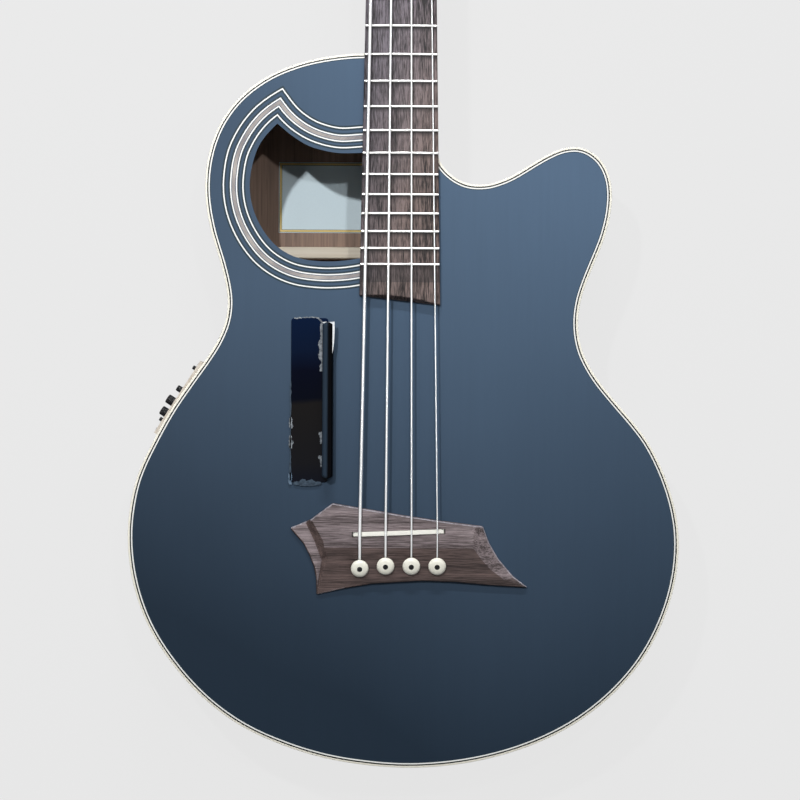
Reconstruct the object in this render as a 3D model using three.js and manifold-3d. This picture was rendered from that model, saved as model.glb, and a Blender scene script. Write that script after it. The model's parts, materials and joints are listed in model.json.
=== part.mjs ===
// Acoustic bass guitar, as the separate pieces that a luthier glues, screws and strings together.
// Millimetres. +Z points up out of the soundboard, +Y runs to the headstock, +X to the treble side.
// The origin lies on the outer face of the flat back, straight below the middle of the saddle.
import * as THREE from 'three';
import { mergeVertices } from 'three/addons/utils/BufferGeometryUtils.js';
import Module from 'manifold-3d';

const wasm = await Module();
wasm.setup();

// Clearances shared by all pieces
const glueGap = 0.3;
const weldDistance = 0.001;
const cutOverrun = 2;

// String length and neck
const scaleLength = 864;
const fretCount = 24;
const bodyFret = 14;
const bodyPastFret = 2;
const nutWidth = 42.7;
const twelfthFretWidth = 57.1;
const boardThickness = 6.5;
const boardCamberRadius = 508;
const boardEndY = 191;
const fretHeight = 1.2;
const fretWidth = 2.4;
const fretCrownWidth = 1.2;
const neckDepthAtNut = 21;
const neckDepthAtHeel = 24;
const heelLength = 66;
const heelDepth = 80;
const heelFootWidth = 30;

// Body
const bodyWidth = 445;
const bodyLength = 577.3;
const bodyDepth = 95;
const cutawayCornerRadius = 12;
const sideThickness = 3;
const topThickness = 4;
const backThickness = 3.5;
const bindingHeight = 6;
const liningWidth = 7;
const liningHeight = 15;

// Strings, from the thickest to the thinnest
const stringDiameters = [2.67, 2.03, 1.52, 1.14];
const stringSpanAtSaddle = 62.2;
const stringSpanAtNut = 35.4;
const nutStringClearance = 0.5;
const stringSides = 6;

// Heights of the working surfaces, all measured from the back
const topZ = bodyDepth;
const boardTopZ = topZ + boardThickness;
const jointY = scaleLength * 2 ** (-bodyFret / 12) + bodyPastFret;

// Finishes
function finish(color, roughness, metalness = 0) {
  return new THREE.MeshStandardMaterial({ color, roughness, metalness });
}
const bluePaint = finish(0x3a4b5e, 0.6);
const creamBinding = finish(0xe9e4cf, 0.45);
const backVeneer = finish(0x4a342a, 0.5);
const paleSpruce = finish(0xd9bd8c, 0.75);
const neckWood = finish(0x3a2a22, 0.5);
const wengeWood = finish(0x4b3a33, 0.7);
const bridgeWood = finish(0x55443c, 0.65);
const rosetteWood = finish(0xa89a8b, 0.6);
const panelWood = finish(0xc9a987, 0.6);
const labelPaper = finish(0xdde5ea, 0.85);
const bonePlastic = finish(0xf2efe2, 0.4);
const glossBlack = finish(0x0a0d12, 0.08);
const matteBlack = finish(0x16181b, 0.55);
const chromePlate = finish(0xd5d8dc, 0.15, 1);
const nickelString = finish(0xc9ccd0, 0.3, 1);
const rodSteel = finish(0x8b8f94, 0.4, 1);

// Turns a geometry into a solid that can be joined and cut
function solidOf(geometry) {
  const bare = geometry.index ? geometry.toNonIndexed() : geometry.clone();
  for (const name of Object.keys(bare.attributes)) {
    if (name !== 'position') bare.deleteAttribute(name);
  }
  const welded = mergeVertices(bare, weldDistance);
  const corners = welded.index.array;
  const kept = [];
  for (let i = 0; i < corners.length; i += 3) {
    const [a, b, c] = [corners[i], corners[i + 1], corners[i + 2]];
    if (a !== b && b !== c && c !== a) kept.push(a, b, c);
  }
  return new wasm.Manifold(new wasm.Mesh({
    numProp: 3,
    vertProperties: Float32Array.from(welded.attributes.position.array),
    triVerts: Uint32Array.from(kept),
  }));
}

// Turns a finished solid into a named mesh
function addPiece(parent, name, solid, material) {
  const { vertProperties, triVerts } = solid.getMesh();
  const geometry = new THREE.BufferGeometry();
  geometry.setAttribute('position', new THREE.BufferAttribute(vertProperties, 3));
  geometry.setIndex(new THREE.BufferAttribute(triVerts, 1));
  geometry.computeVertexNormals();
  const mesh = new THREE.Mesh(geometry, material);
  mesh.name = name;
  parent.add(mesh);
  return mesh;
}

// A box between two corners
function block(xLow, xHigh, yLow, yHigh, zLow, zHigh) {
  const box = new THREE.BoxGeometry(xHigh - xLow, yHigh - yLow, zHigh - zLow);
  box.translate((xLow + xHigh) / 2, (yLow + yHigh) / 2, (zLow + zHigh) / 2);
  return solidOf(box);
}

// A flat plate of the given outline between two heights
function plate(outline, low, high, holes = []) {
  const shape = new THREE.Shape(outline);
  shape.holes = holes.map((hole) => new THREE.Path(hole));
  const sheet = new THREE.ExtrudeGeometry(shape, { depth: high - low, bevelEnabled: false });
  sheet.translate(0, 0, low);
  return solidOf(sheet);
}

// A bar whose profile lies in the plane of X and Z, or of Y and Z, run along the third axis
function profileAlongY(profile, low, high) {
  const bar = new THREE.ExtrudeGeometry(new THREE.Shape(profile), { depth: high - low, bevelEnabled: false });
  bar.rotateX(Math.PI / 2);
  bar.translate(0, high, 0);
  return solidOf(bar);
}
function profileAlongX(profile, low, high) {
  const bar = new THREE.ExtrudeGeometry(new THREE.Shape(profile), { depth: high - low, bevelEnabled: false });
  bar.rotateX(Math.PI / 2);
  bar.rotateZ(Math.PI / 2);
  bar.translate(low, 0, 0);
  return solidOf(bar);
}

// A turned piece: its profile is a list of radius and height, on the Z axis or laid along +X
function turned(profile, segments) {
  const points = profile.map(([radius, height]) => new THREE.Vector2(radius, height));
  const lathe = new THREE.LatheGeometry(points, segments);
  lathe.rotateX(Math.PI / 2);
  return lathe;
}
function turnedSolid(profile, segments) {
  return rightWayOut(solidOf(turned(profile, segments)), turned(profile, segments));
}
function turnedAlongX(profile, segments) {
  const lathe = turned(profile, segments);
  lathe.rotateY(Math.PI / 2);
  return rightWayOut(solidOf(lathe), lathe);
}

// A turned profile drawn downwards comes out inside out, so it is flipped
function rightWayOut(solid, geometry) {
  if (solid.volume() > 0) return solid;
  const flipped = geometry.toNonIndexed();
  const places = flipped.attributes.position;
  for (let i = 0; i < places.count; i += 3) {
    const second = new THREE.Vector3().fromBufferAttribute(places, i + 1);
    const third = new THREE.Vector3().fromBufferAttribute(places, i + 2);
    places.setXYZ(i + 1, third.x, third.y, third.z);
    places.setXYZ(i + 2, second.x, second.y, second.z);
  }
  return solidOf(flipped);
}

// A skin over rings of points, each with the same count, closed at both ends
function loft(rings) {
  const count = rings[0].length;
  const last = (rings.length - 1) * count;
  const faces = [];
  for (let r = 0; r < rings.length - 1; r++) {
    for (let i = 0; i < count; i++) {
      const next = (i + 1) % count;
      const [a, b] = [r * count + i, r * count + next];
      faces.push(a, b, b + count, a, b + count, a + count);
    }
  }
  for (let i = 1; i < count - 1; i++) {
    faces.push(0, i + 1, i, last, last + i, last + i + 1);
  }
  const skin = new THREE.BufferGeometry().setFromPoints(rings.flat());
  skin.setIndex(faces);
  return rightWayOut(solidOf(skin), skin);
}

// A round bar along a path of points
function sweep(path, radius, sides) {
  const steps = path.slice(1).map((point, i) => point.clone().sub(path[i]).normalize());
  const side = new THREE.Vector3(1, 0, 0);
  let heading = steps[0].clone();
  const rings = path.map((point, i) => {
    const before = steps[Math.max(i - 1, 0)];
    const after = steps[Math.min(i, steps.length - 1)];
    const tangent = before.clone().add(after).normalize();
    side.applyQuaternion(new THREE.Quaternion().setFromUnitVectors(heading, tangent));
    heading = tangent;
    side.addScaledVector(tangent, -side.dot(tangent)).normalize();
    const up = new THREE.Vector3().crossVectors(tangent, side);
    return Array.from({ length: sides }, (_, k) => {
      const turn = (k / sides) * 2 * Math.PI;
      return point.clone()
        .addScaledVector(side, radius * Math.cos(turn))
        .addScaledVector(up, radius * Math.sin(turn));
    });
  });
  return loft(rings);
}

// A path moved to its left by a distance, its corners mitred
function offsetPath(points, distance, closed) {
  const count = points.length;
  const direction = (from, to) => points[to].clone().sub(points[from]).normalize();
  return points.map((point, i) => {
    const previous = closed ? (i + count - 1) % count : Math.max(i - 1, 0);
    const next = closed ? (i + 1) % count : Math.min(i + 1, count - 1);
    const into = previous === i ? direction(i, next) : direction(previous, i);
    const out = next === i ? into : direction(i, next);
    const normal = new THREE.Vector2(-into.y - out.y, into.x + out.x).normalize();
    const mitre = Math.max(normal.dot(new THREE.Vector2(-into.y, into.x)), 1 / 2);
    return point.clone().addScaledVector(normal, distance / mitre);
  });
}

// A smooth run through points, with a number of steps between each two
function smooth(points, stepsBetween) {
  return new THREE.SplineCurve(points).getPoints((points.length - 1) * stepsBetween);
}

// The moulded outline: from the neck down the bass side, round the tail and up into the cutaway.
// Each point is its place across in shares of the width and down from the neck in shares of length.
const bodyOutlineShares = [
  [-0.027, 0.000], [-0.090, 0.001], [-0.165, 0.010], [-0.235, 0.030], [-0.292, 0.062],
  [-0.331, 0.104], [-0.351, 0.153], [-0.354, 0.202], [-0.343, 0.251], [-0.325, 0.297],
  [-0.313, 0.341], [-0.317, 0.377], [-0.337, 0.412], [-0.374, 0.454], [-0.413, 0.498],
  [-0.450, 0.550], [-0.479, 0.603], [-0.492, 0.669], [-0.484, 0.736], [-0.456, 0.800],
  [-0.410, 0.856], [-0.353, 0.904], [-0.286, 0.942], [-0.213, 0.968], [-0.138, 0.986],
  [-0.063, 0.996], [0.012, 1.000], [0.087, 0.997], [0.163, 0.987], [0.239, 0.969],
  [0.312, 0.942], [0.379, 0.904], [0.437, 0.855], [0.479, 0.797], [0.504, 0.732],
  [0.508, 0.665], [0.488, 0.600], [0.451, 0.541], [0.404, 0.496], [0.361, 0.456],
  [0.333, 0.417], [0.324, 0.377], [0.331, 0.338], [0.351, 0.296], [0.371, 0.257],
  [0.383, 0.216], [0.382, 0.178], [0.364, 0.148], [0.330, 0.131], [0.290, 0.133],
  [0.246, 0.150], [0.203, 0.170], [0.160, 0.182], [0.121, 0.181], [0.092, 0.169],
  [0.073, 0.152], [0.064, 0.131],
];
function bodyPlace([across, down]) {
  return new THREE.Vector2(across * bodyWidth, jointY - down * bodyLength);
}
const outlineSteps = 2;
const cornerSteps = 4;
function bodyOutline() {
  const round = smooth(bodyOutlineShares.map(bodyPlace), outlineSteps);
  const wallX = round.at(-1).x;
  const corner = new THREE.EllipseCurve(
    wallX - cutawayCornerRadius, jointY - cutawayCornerRadius,
    cutawayCornerRadius, cutawayCornerRadius, 0, Math.PI / 2, false,
  );
  return [...round, ...corner.getPoints(cornerSteps)];
}
const outline = bodyOutline();
const inset = (distance) => offsetPath(outline, distance, true);
const innerWall = sideThickness + glueGap;
const innerLining = innerWall + liningWidth;

const bass = new THREE.Group();

// Soundhole: a round hole in the upper bass bout that a scoop cuts to a point, its straight side
// hidden under the fingerboard. Its round side and its point keep clear of the body's edge.
const soundholeStartX = -27;
const soundholeToEdge = 35.33;
const soundholePointDrop = 56.2;
const soundholeBottomShare = 0.2926;
const soundholeRoundShares = [
  [0.000, 0.031], [0.200, 0.004], [0.399, 0.000], [0.604, 0.029], [0.777, 0.114],
  [0.909, 0.257], [0.985, 0.421], [1.000, 0.594], [0.952, 0.780], [0.875, 0.899],
  [0.763, 1.000],
];
const soundholeScoopShares = [
  [0.763, 1.000], [0.656, 0.924], [0.550, 0.864], [0.443, 0.823], [0.242, 0.788], [0.000, 0.793],
];
const upperBoutShares = bodyOutlineShares.slice(0, 10).map(([across]) => across);
const upperBoutHalfWidth = -Math.min(...upperBoutShares) * bodyWidth;
const soundholeWidth = upperBoutHalfWidth + soundholeStartX - soundholeToEdge;
const soundholeLength = soundholeBottomShare * bodyLength - soundholePointDrop;
const soundholeBottomY = jointY - soundholeBottomShare * bodyLength;
function soundholePlace([across, up]) {
  const x = soundholeStartX - across * soundholeWidth;
  return new THREE.Vector2(x, soundholeBottomY + up * soundholeLength);
}
const soundholeRound = smooth(soundholeRoundShares.map(soundholePlace), outlineSteps);
const soundholeScoop = smooth(soundholeScoopShares.map(soundholePlace), outlineSteps);
const soundholeEdge = [...soundholeRound, ...soundholeScoop.slice(1)];

// Rosette: a strip of wood inlaid round the soundhole, ending under the fingerboard. Its two arms are
// drawn past each other over the point of the hole, and the strip is mitred where they cross.
const rosetteInner = 9.3;
const rosetteOuter = 15.1;
const rosetteDepth = 1.2;
const rosetteRoundShares = [
  ...soundholeRoundShares.slice(0, 8), [0.950, 0.790], [0.785, 0.985], [0.455, 1.160],
];
const rosetteScoopShares = [
  [0.920, 1.165], [0.760, 0.990], [0.610, 0.885], [0.445, 0.818], [0.242, 0.781], [0.000, 0.791],
];
const rosetteRound = smooth(rosetteRoundShares.map(soundholePlace), outlineSteps);
const rosetteScoop = smooth(rosetteScoopShares.map(soundholePlace), outlineSteps);
function crossingOf(a, b, c, d) {
  const [first, second, between] = [b.clone().sub(a), d.clone().sub(c), c.clone().sub(a)];
  const spread = first.cross(second);
  const [along, across] = [between.cross(second) / spread, between.cross(first) / spread];
  const meets = along >= 0 && along <= 1 && across >= 0 && across <= 1;
  return meets ? a.clone().addScaledVector(first, along) : null;
}
function mitredRun(distance) {
  const rising = offsetPath(rosetteRound, distance, false);
  const falling = offsetPath(rosetteScoop, distance, false);
  for (let i = 1; i < rising.length; i++) {
    for (let j = 1; j < falling.length; j++) {
      const corner = crossingOf(rising[i - 1], rising[i], falling[j - 1], falling[j]);
      if (corner) return [...rising.slice(0, i), corner, ...falling.slice(j)];
    }
  }
  throw new Error('The rosette has no mitre');
}
function rosetteStrip(spare, low, high) {
  const outer = mitredRun(rosetteOuter + spare);
  const inner = mitredRun(rosetteInner - spare);
  return plate([...outer, ...inner.reverse()], low, high);
}
addPiece(bass, 'rosette', rosetteStrip(0, topZ - rosetteDepth, topZ), rosetteWood);

// Bridge, saddle and pins: the bridge is carved from one block of dark wood
const bridgeLength = 192;
const bridgeBreadth = 75;
const bridgeHeight = 9;
const bridgeRimHeight = 3.2;
const pinZoneY = -12;
const pinZoneDegrees = 9.7;
const bridgeEdgeShares = [
  [-0.456, 0.043], [-0.388, 0.115], [-0.369, 0.137], [-0.277, 0.313], [0.006, 0.191],
  [0.156, 0.135], [0.312, 0.084], [0.354, 0.072], [0.381, -0.111], [0.421, -0.283],
  [0.482, -0.465], [0.543, -0.585], [0.381, -0.561], [0.231, -0.528], [0.099, -0.517],
  [0.006, -0.535], [-0.113, -0.553], [-0.225, -0.603], [-0.344, -0.675], [-0.346, -0.488],
  [-0.356, -0.364], [-0.376, -0.240], [-0.401, -0.119], [-0.433, -0.027],
];
const bridgeRidgeShares = {
  bassTopShare: [-0.319, -0.095], bassLowShare: [-0.315, -0.160], bassEndShare: [-0.298, -0.260],
  stepTopShare: [-0.346, -0.107], stepLowShare: [-0.320, -0.280],
  trebleLowShare: [0.313, -0.160], trebleFirstShare: [0.344, -0.267], trebleSecondShare: [0.382, -0.381],
  trebleThirdShare: [0.446, -0.505],
};
const pinSlope = THREE.MathUtils.degToRad(pinZoneDegrees);
const bridgeTopY = Math.max(...bridgeEdgeShares.map(([, across]) => across)) * bridgeBreadth;
function bridgePlace([along, across], height) {
  return new THREE.Vector3(along * bridgeLength, across * bridgeBreadth, topZ + height);
}
function pinZoneHeight(y) {
  return bridgeHeight + Math.tan(pinSlope) * (y - pinZoneY);
}
function bridgeBlock() {
  const rimHeights = bridgeEdgeShares.map(([, across], i) => {
    if (i >= 2 && i <= 6) return bridgeHeight;
    if (i >= 11 && i <= 18) return pinZoneHeight(across * bridgeBreadth);
    return bridgeRimHeight;
  });
  const rim = bridgeEdgeShares.map((place, i) => bridgePlace(place, rimHeights[i]));
  const foot = bridgeEdgeShares.map((place) => bridgePlace(place, 0));
  const onPinZone = (place) => bridgePlace(place, pinZoneHeight(place[1] * bridgeBreadth));
  const ridge = {};
  for (const [name, place] of Object.entries(bridgeRidgeShares)) {
    ridge[name.replace('Share', '')] = onPinZone(place);
  }
  ridge.bassTop.z = topZ + bridgeHeight;
  ridge.stepTop.z = topZ + bridgeRimHeight;
  ridge.stepLow.z = topZ + bridgeRimHeight;
  const facets = [
    [rim[2], rim[3], rim[4], rim[5], rim[6], ridge.trebleLow, ridge.bassLow, ridge.bassTop],
    [ridge.bassLow, ridge.trebleLow, ridge.trebleFirst, ridge.trebleSecond, ridge.trebleThird, rim[11],
      rim[12], rim[13], rim[14], rim[15], rim[16], rim[17], rim[18], ridge.bassEnd],
    [rim[6], rim[7], rim[8], ridge.trebleFirst, ridge.trebleLow],
    [rim[8], rim[9], ridge.trebleSecond, ridge.trebleFirst],
    [rim[9], rim[10], ridge.trebleThird, ridge.trebleSecond],
    [rim[10], rim[11], ridge.trebleThird],
    [rim[1], rim[2], ridge.bassTop, ridge.stepTop],
    [ridge.stepTop, ridge.bassTop, ridge.bassLow, ridge.bassEnd, ridge.stepLow],
    [ridge.stepLow, ridge.bassEnd, rim[18]],
    [rim[0], rim[1], ridge.stepTop, ridge.stepLow, rim[18], rim[19], rim[20], rim[21], rim[22], rim[23]],
  ];
  const corners = [];
  const addFacet = (facet) => {
    const flat = facet.map((corner) => new THREE.Vector2(corner.x, corner.y));
    for (const face of THREE.ShapeUtils.triangulateShape(flat, [])) {
      corners.push(...face.map((k) => facet[k]));
    }
  };
  facets.forEach((facet) => addFacet([...facet].reverse()));
  const top = corners.length;
  addFacet([...foot].reverse());
  for (let i = top; i < corners.length; i += 3) {
    [corners[i + 1], corners[i + 2]] = [corners[i + 2], corners[i + 1]];
  }
  rim.forEach((corner, i) => {
    const next = (i + 1) % rim.length;
    corners.push(corner, rim[next], foot[next], corner, foot[next], foot[i]);
  });
  return new THREE.BufferGeometry().setFromPoints(corners);
}

// Saddle: a bone strip in a slot, set a little aslant, with a sensing strip below it
const saddleLength = 74.5;
const saddleThickness = 3.6;
const saddleSlantDegrees = 2.3;
const saddleCrownHeight = 11.2;
const saddleSlotDepth = 5;
const saddleEndRound = 1.8;
const pickupThickness = 1.2;
const saddleSlope = Math.tan(THREE.MathUtils.degToRad(saddleSlantDegrees));
const saddleSlotZ = topZ + bridgeHeight - saddleSlotDepth;
const camberDrop = (x) => (x * x) / (2 * boardCamberRadius);
const saddleCrownZ = (x) => topZ + saddleCrownHeight - camberDrop(x);
const saddleGroup = new THREE.Group();
saddleGroup.rotation.z = THREE.MathUtils.degToRad(saddleSlantDegrees);
saddleGroup.updateMatrix();
bass.add(saddleGroup);

const crownSteps = 8;
const saddleProfile = [
  new THREE.Vector2(-saddleLength / 2, saddleSlotZ + pickupThickness + glueGap),
  new THREE.Vector2(saddleLength / 2, saddleSlotZ + pickupThickness + glueGap),
];
for (let i = 0; i <= crownSteps; i++) {
  const x = saddleLength / 2 - saddleEndRound / 2 - (i / crownSteps) * (saddleLength - saddleEndRound);
  const endDrop = i === 0 || i === crownSteps ? saddleEndRound : 0;
  saddleProfile.push(new THREE.Vector2(x, saddleCrownZ(x) - endDrop));
}
addPiece(saddleGroup, 'saddle',
  profileAlongY(saddleProfile, -saddleThickness / 2, saddleThickness / 2), bonePlastic);
addPiece(saddleGroup, 'pickup_strip', block(
  -saddleLength / 2, saddleLength / 2, -saddleThickness / 2, saddleThickness / 2,
  saddleSlotZ + glueGap, saddleSlotZ + pickupThickness,
), rodSteel);
const slotHalfLength = saddleLength / 2 + glueGap;
const slotHalfWidth = saddleThickness / 2 + glueGap;
const saddleSlot = new THREE.BoxGeometry(2 * slotHalfLength, 2 * slotHalfWidth, 2 * saddleSlotDepth);
saddleSlot.translate(0, 0, topZ + bridgeHeight);
saddleSlot.applyMatrix4(saddleGroup.matrix);

// Bridge pins: turned pegs that wedge the string ends, square to the sloping pin zone
const pinSetBack = 26.4;
const bassPinExtraBack = 2;
const pinHeadRadius = 7.1;
const pinHeadHeight = 3.4;
const pinHeadLift = 1.2;
const pinDomeShares = [[1, 0.33], [0.72, 0.86], [0, 1]];
const pinShaftRadius = 4.1;
const pinTipRadius = 3.2;
const pinLength = 24;
const pinFlat = 1.2;
const pinStringPlace = 2.9;
const pinHoleRadius = 4.6;
const ballRadius = 2.8;
const ballLength = 5;
const ballPlace = 4.3;
const ballSides = 8;
const bridgePlateThickness = 3;
const pinSegments = 14;
const stringShare = (i) => i / (stringDiameters.length - 1) - 1 / 2;

function pinFrame(i) {
  const y = -pinSetBack - (i === 0 ? bassPinExtraBack : 0);
  const frame = new THREE.Group();
  frame.position.set(stringShare(i) * stringSpanAtSaddle, y, topZ + pinZoneHeight(y));
  frame.rotation.x = pinSlope;
  frame.updateMatrix();
  return frame;
}
const pinFrames = stringDiameters.map((_, i) => pinFrame(i));
const pinHole = (frame) => {
  const drill = turned([
    [0, -pinLength], [pinHoleRadius, -pinLength], [pinHoleRadius, pinHeadHeight], [0, pinHeadHeight],
  ], pinSegments);
  return solidOf(drill.applyMatrix4(frame.matrix));
};
const pinNames = ['bridge_pin_e', 'bridge_pin_a', 'bridge_pin_d', 'bridge_pin_g'];
pinFrames.forEach((frame, i) => {
  const peg = turnedSolid([
    [0, -pinLength], [pinTipRadius, -pinLength], [pinShaftRadius, pinHeadLift / 2],
    [pinShaftRadius, pinHeadLift], [pinHeadRadius, pinHeadLift],
    ...pinDomeShares.map(([out, up]) => [out * pinHeadRadius, pinHeadLift + up * pinHeadHeight]),
  ], pinSegments);
  const flat = block(-pinHeadRadius, pinHeadRadius, pinFlat, pinHeadRadius,
    -pinLength - cutOverrun, pinHeadLift);
  addPiece(frame, pinNames[i], peg.subtract(flat), bonePlastic);
  bass.add(frame);
});

// Where each string runs: ball end, up past its pin, over the saddle and through the nut
const nutThickness = 6;
const nutTopClearance = 1.1;
const stringAtNutX = (i) => stringShare(i) * stringSpanAtNut;
const stringAtSaddleX = (i) => stringShare(i) * stringSpanAtSaddle;
const nutFloorZ = (x) => boardTopZ + fretHeight + nutStringClearance - camberDrop(x);
function stringLowPoints(i) {
  const radius = stringDiameters[i] / 2;
  const underHead = pinHeadLift - glueGap - radius;
  const atPin = (along, up) => new THREE.Vector3(0, along, up).applyMatrix4(pinFrames[i].matrix);
  const woodDepth = pinZoneHeight(pinFrames[i].position.y) + topThickness + bridgePlateThickness;
  const ballTop = -(woodDepth + (ballPlace + ballRadius) * Math.sin(pinSlope)) / Math.cos(pinSlope) - glueGap;
  const x = stringAtSaddleX(i);
  const crown = new THREE.Vector3(x, x * saddleSlope, saddleCrownZ(x) + glueGap + radius);
  const nutX = stringAtNutX(i);
  const nutZ = nutFloorZ(nutX) + radius;
  return {
    ballTop,
    end: atPin(pinStringPlace, ballTop - ballLength),
    low: atPin(pinStringPlace, underHead - 2 * radius),
    bend: atPin(pinStringPlace + radius / 2, underHead - radius / 2),
    underHead: atPin(pinHeadRadius, underHead),
    crown,
    nutFront: new THREE.Vector3(nutX, scaleLength, nutZ),
    nutBack: new THREE.Vector3(nutX, scaleLength + nutThickness, nutZ),
  };
}
const stringLows = stringDiameters.map((_, i) => stringLowPoints(i));

// A slot for the string from its pin hole up to the face of the bridge
function stringRamp(i) {
  const { bend, underHead, crown } = stringLows[i];
  const drop = stringDiameters[i] / 2 + glueGap;
  const highZ = topZ + bridgeHeight + cutOverrun;
  const ramp = profileAlongX([
    new THREE.Vector2(bend.y, bend.z - drop), new THREE.Vector2(underHead.y, underHead.z - drop),
    new THREE.Vector2(crown.y, crown.z - drop), new THREE.Vector2(crown.y, crown.z),
    new THREE.Vector2(bend.y, highZ),
  ], stringAtSaddleX(i) - drop, stringAtSaddleX(i) + drop);
  return ramp;
}
let bridge = rightWayOut(solidOf(bridgeBlock()), bridgeBlock());
bridge = bridge.subtract(solidOf(saddleSlot));
pinFrames.forEach((frame, i) => {
  bridge = bridge.subtract(pinHole(frame)).subtract(stringRamp(i));
});
addPiece(bass, 'bridge', bridge, bridgeWood);

// Bridge plate: a hardwood pad inside, under the bridge
const bridgePlateLength = 150;
const bridgePlateBreadth = 56;
const bridgePlateTopY = -pinSetBack + bridgePlateBreadth / 2;
let bridgePlate = block(
  -bridgePlateLength / 2, bridgePlateLength / 2, bridgePlateTopY - bridgePlateBreadth,
  bridgePlateTopY, topZ - topThickness - bridgePlateThickness, topZ - topThickness,
);
pinFrames.forEach((frame) => {
  bridgePlate = bridgePlate.subtract(pinHole(frame));
});
addPiece(bass, 'bridge_plate', bridgePlate, neckWood);

// Soundboard with its soundhole, the groove for the rosette and the pin holes
let soundboard = plate(inset(innerWall), topZ - topThickness, topZ, [soundholeEdge]);
soundboard = soundboard.subtract(rosetteStrip(glueGap, topZ - rosetteDepth, topZ + cutOverrun));
pinFrames.forEach((frame) => {
  soundboard = soundboard.subtract(pinHole(frame));
});
addPiece(bass, 'soundboard', soundboard, bluePaint);
addPiece(bass, 'back_plate', plate(inset(innerWall), 0, backThickness), backVeneer);

// Binding: a plastic strip that covers each edge
const bindingRing = (low, high) => plate(outline, low, high, [inset(sideThickness)]);
addPiece(bass, 'top_binding', bindingRing(topZ - bindingHeight, topZ), creamBinding);
addPiece(bass, 'back_binding', bindingRing(0, bindingHeight), creamBinding);

// Preamp place: a flat wooden panel over a window in the bass side
const panelLength = 70;
const panelHeight = 48;
const panelThickness = 3.6;
const panelLap = 3.5;
const panelUpShare = 0.52;
const panelDownShare = 0.486;
const preampBoxDepth = 30;
const panelMiddleZ = bodyDepth * panelUpShare;
function bassSidePlace(y) {
  const run = outline.slice(0, outline.length / 2);
  const i = run.findIndex((point) => point.y < y);
  const [high, low] = [run[i - 1], run[i]];
  return high.clone().lerp(low, (high.y - y) / (high.y - low.y));
}
const panelMiddle = bassSidePlace(jointY - panelDownShare * bodyLength);
const panelReach = Math.sqrt(3) / 4 * panelLength;
const panelNeckEnd = bassSidePlace(panelMiddle.y + panelReach);
const panelTailEnd = bassSidePlace(panelMiddle.y - panelReach);
const panelRun = panelTailEnd.clone().sub(panelNeckEnd).normalize();
const panelOut = new THREE.Vector2(panelRun.y, -panelRun.x);
const panelNear = outline.filter((point) => point.distanceTo(panelMiddle) < panelLength / 2);
const panelBulge = Math.max(...panelNear.map((point) => point.clone().sub(panelMiddle).dot(panelOut)));
const preamp = new THREE.Group();
preamp.position.set(
  panelMiddle.x + panelOut.x * (panelBulge + glueGap),
  panelMiddle.y + panelOut.y * (panelBulge + glueGap), panelMiddleZ,
);
preamp.rotation.z = Math.atan2(panelOut.y, panelOut.x);
preamp.updateMatrix();
bass.add(preamp);
const windowHalfLength = panelLength / 2 - panelLap;
const windowHalfHeight = panelHeight / 2 - panelLap;
const sideWindow = new THREE.BoxGeometry(2 * preampBoxDepth, 2 * windowHalfLength, 2 * windowHalfHeight);
sideWindow.applyMatrix4(preamp.matrix);

// Jack at the tail, which is also the rear strap button
const jackFlangeRadius = 8;
const jackFlangeThickness = 3.5;
const jackBarrelRadius = 6;
const jackBarrelLength = 44;
const jackBoreRadius = 3.3;
const jackBoreDepth = 36;
const jackNutRadius = 8.5;
const jackSegments = 20;
const tailY = jointY - bodyLength;
const jack = new THREE.Group();
jack.position.set(0, tailY - glueGap, bodyDepth / 2);
jack.rotation.z = Math.PI / 2;
jack.updateMatrix();
bass.add(jack);
const jackHole = turnedAlongX([
  [0, -jackFlangeThickness], [jackBarrelRadius + glueGap, -jackFlangeThickness],
  [jackBarrelRadius + glueGap, jackBarrelLength], [0, jackBarrelLength],
], jackSegments).transform(jack.matrix.toArray());

// Sides: two bent strips that meet at the tail and under the neck
const sideRing = plate(outline, bindingHeight, topZ - bindingHeight, [inset(sideThickness)]);
const halfBody = (xLow, xHigh) => block(
  xLow, xHigh, jointY - bodyLength - cutOverrun, jointY + cutOverrun, 0, bodyDepth,
);
addPiece(bass, 'bass_side', sideRing.intersect(halfBody(-bodyWidth, -glueGap / 2))
  .subtract(solidOf(sideWindow)).subtract(jackHole), backVeneer);
addPiece(bass, 'treble_side', sideRing.intersect(halfBody(glueGap / 2, bodyWidth))
  .subtract(jackHole), backVeneer);

// Blocks that join the sides at the neck and at the tail
const blockHalfWidth = 40;
const neckBlockLength = 34;
const tailBlockLength = 26;
const insideBody = plate(inset(innerWall), backThickness, topZ - topThickness);
const neckBlockBox = (spare) => block(
  -blockHalfWidth - spare, blockHalfWidth + spare, jointY - innerWall - neckBlockLength - spare,
  jointY, backThickness - cutOverrun * Math.sign(spare), topZ - topThickness + cutOverrun * Math.sign(spare),
);
const tailBlock = block(
  -blockHalfWidth, blockHalfWidth, tailY, tailY + innerWall + tailBlockLength,
  backThickness + liningHeight, topZ - topThickness - liningHeight,
);
addPiece(bass, 'neck_block', neckBlockBox(0).intersect(insideBody), paleSpruce);
addPiece(bass, 'tail_block', tailBlock.intersect(insideBody).subtract(jackHole), paleSpruce);

// Linings: strips that widen the joint of the sides with the top and with the back
function lining(low, high) {
  return plate(inset(innerWall), low, high, [inset(innerLining)]).subtract(neckBlockBox(glueGap));
}
addPiece(bass, 'top_lining', lining(topZ - topThickness - liningHeight, topZ - topThickness), paleSpruce);
addPiece(bass, 'back_lining', lining(backThickness, backThickness + liningHeight), paleSpruce);

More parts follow.
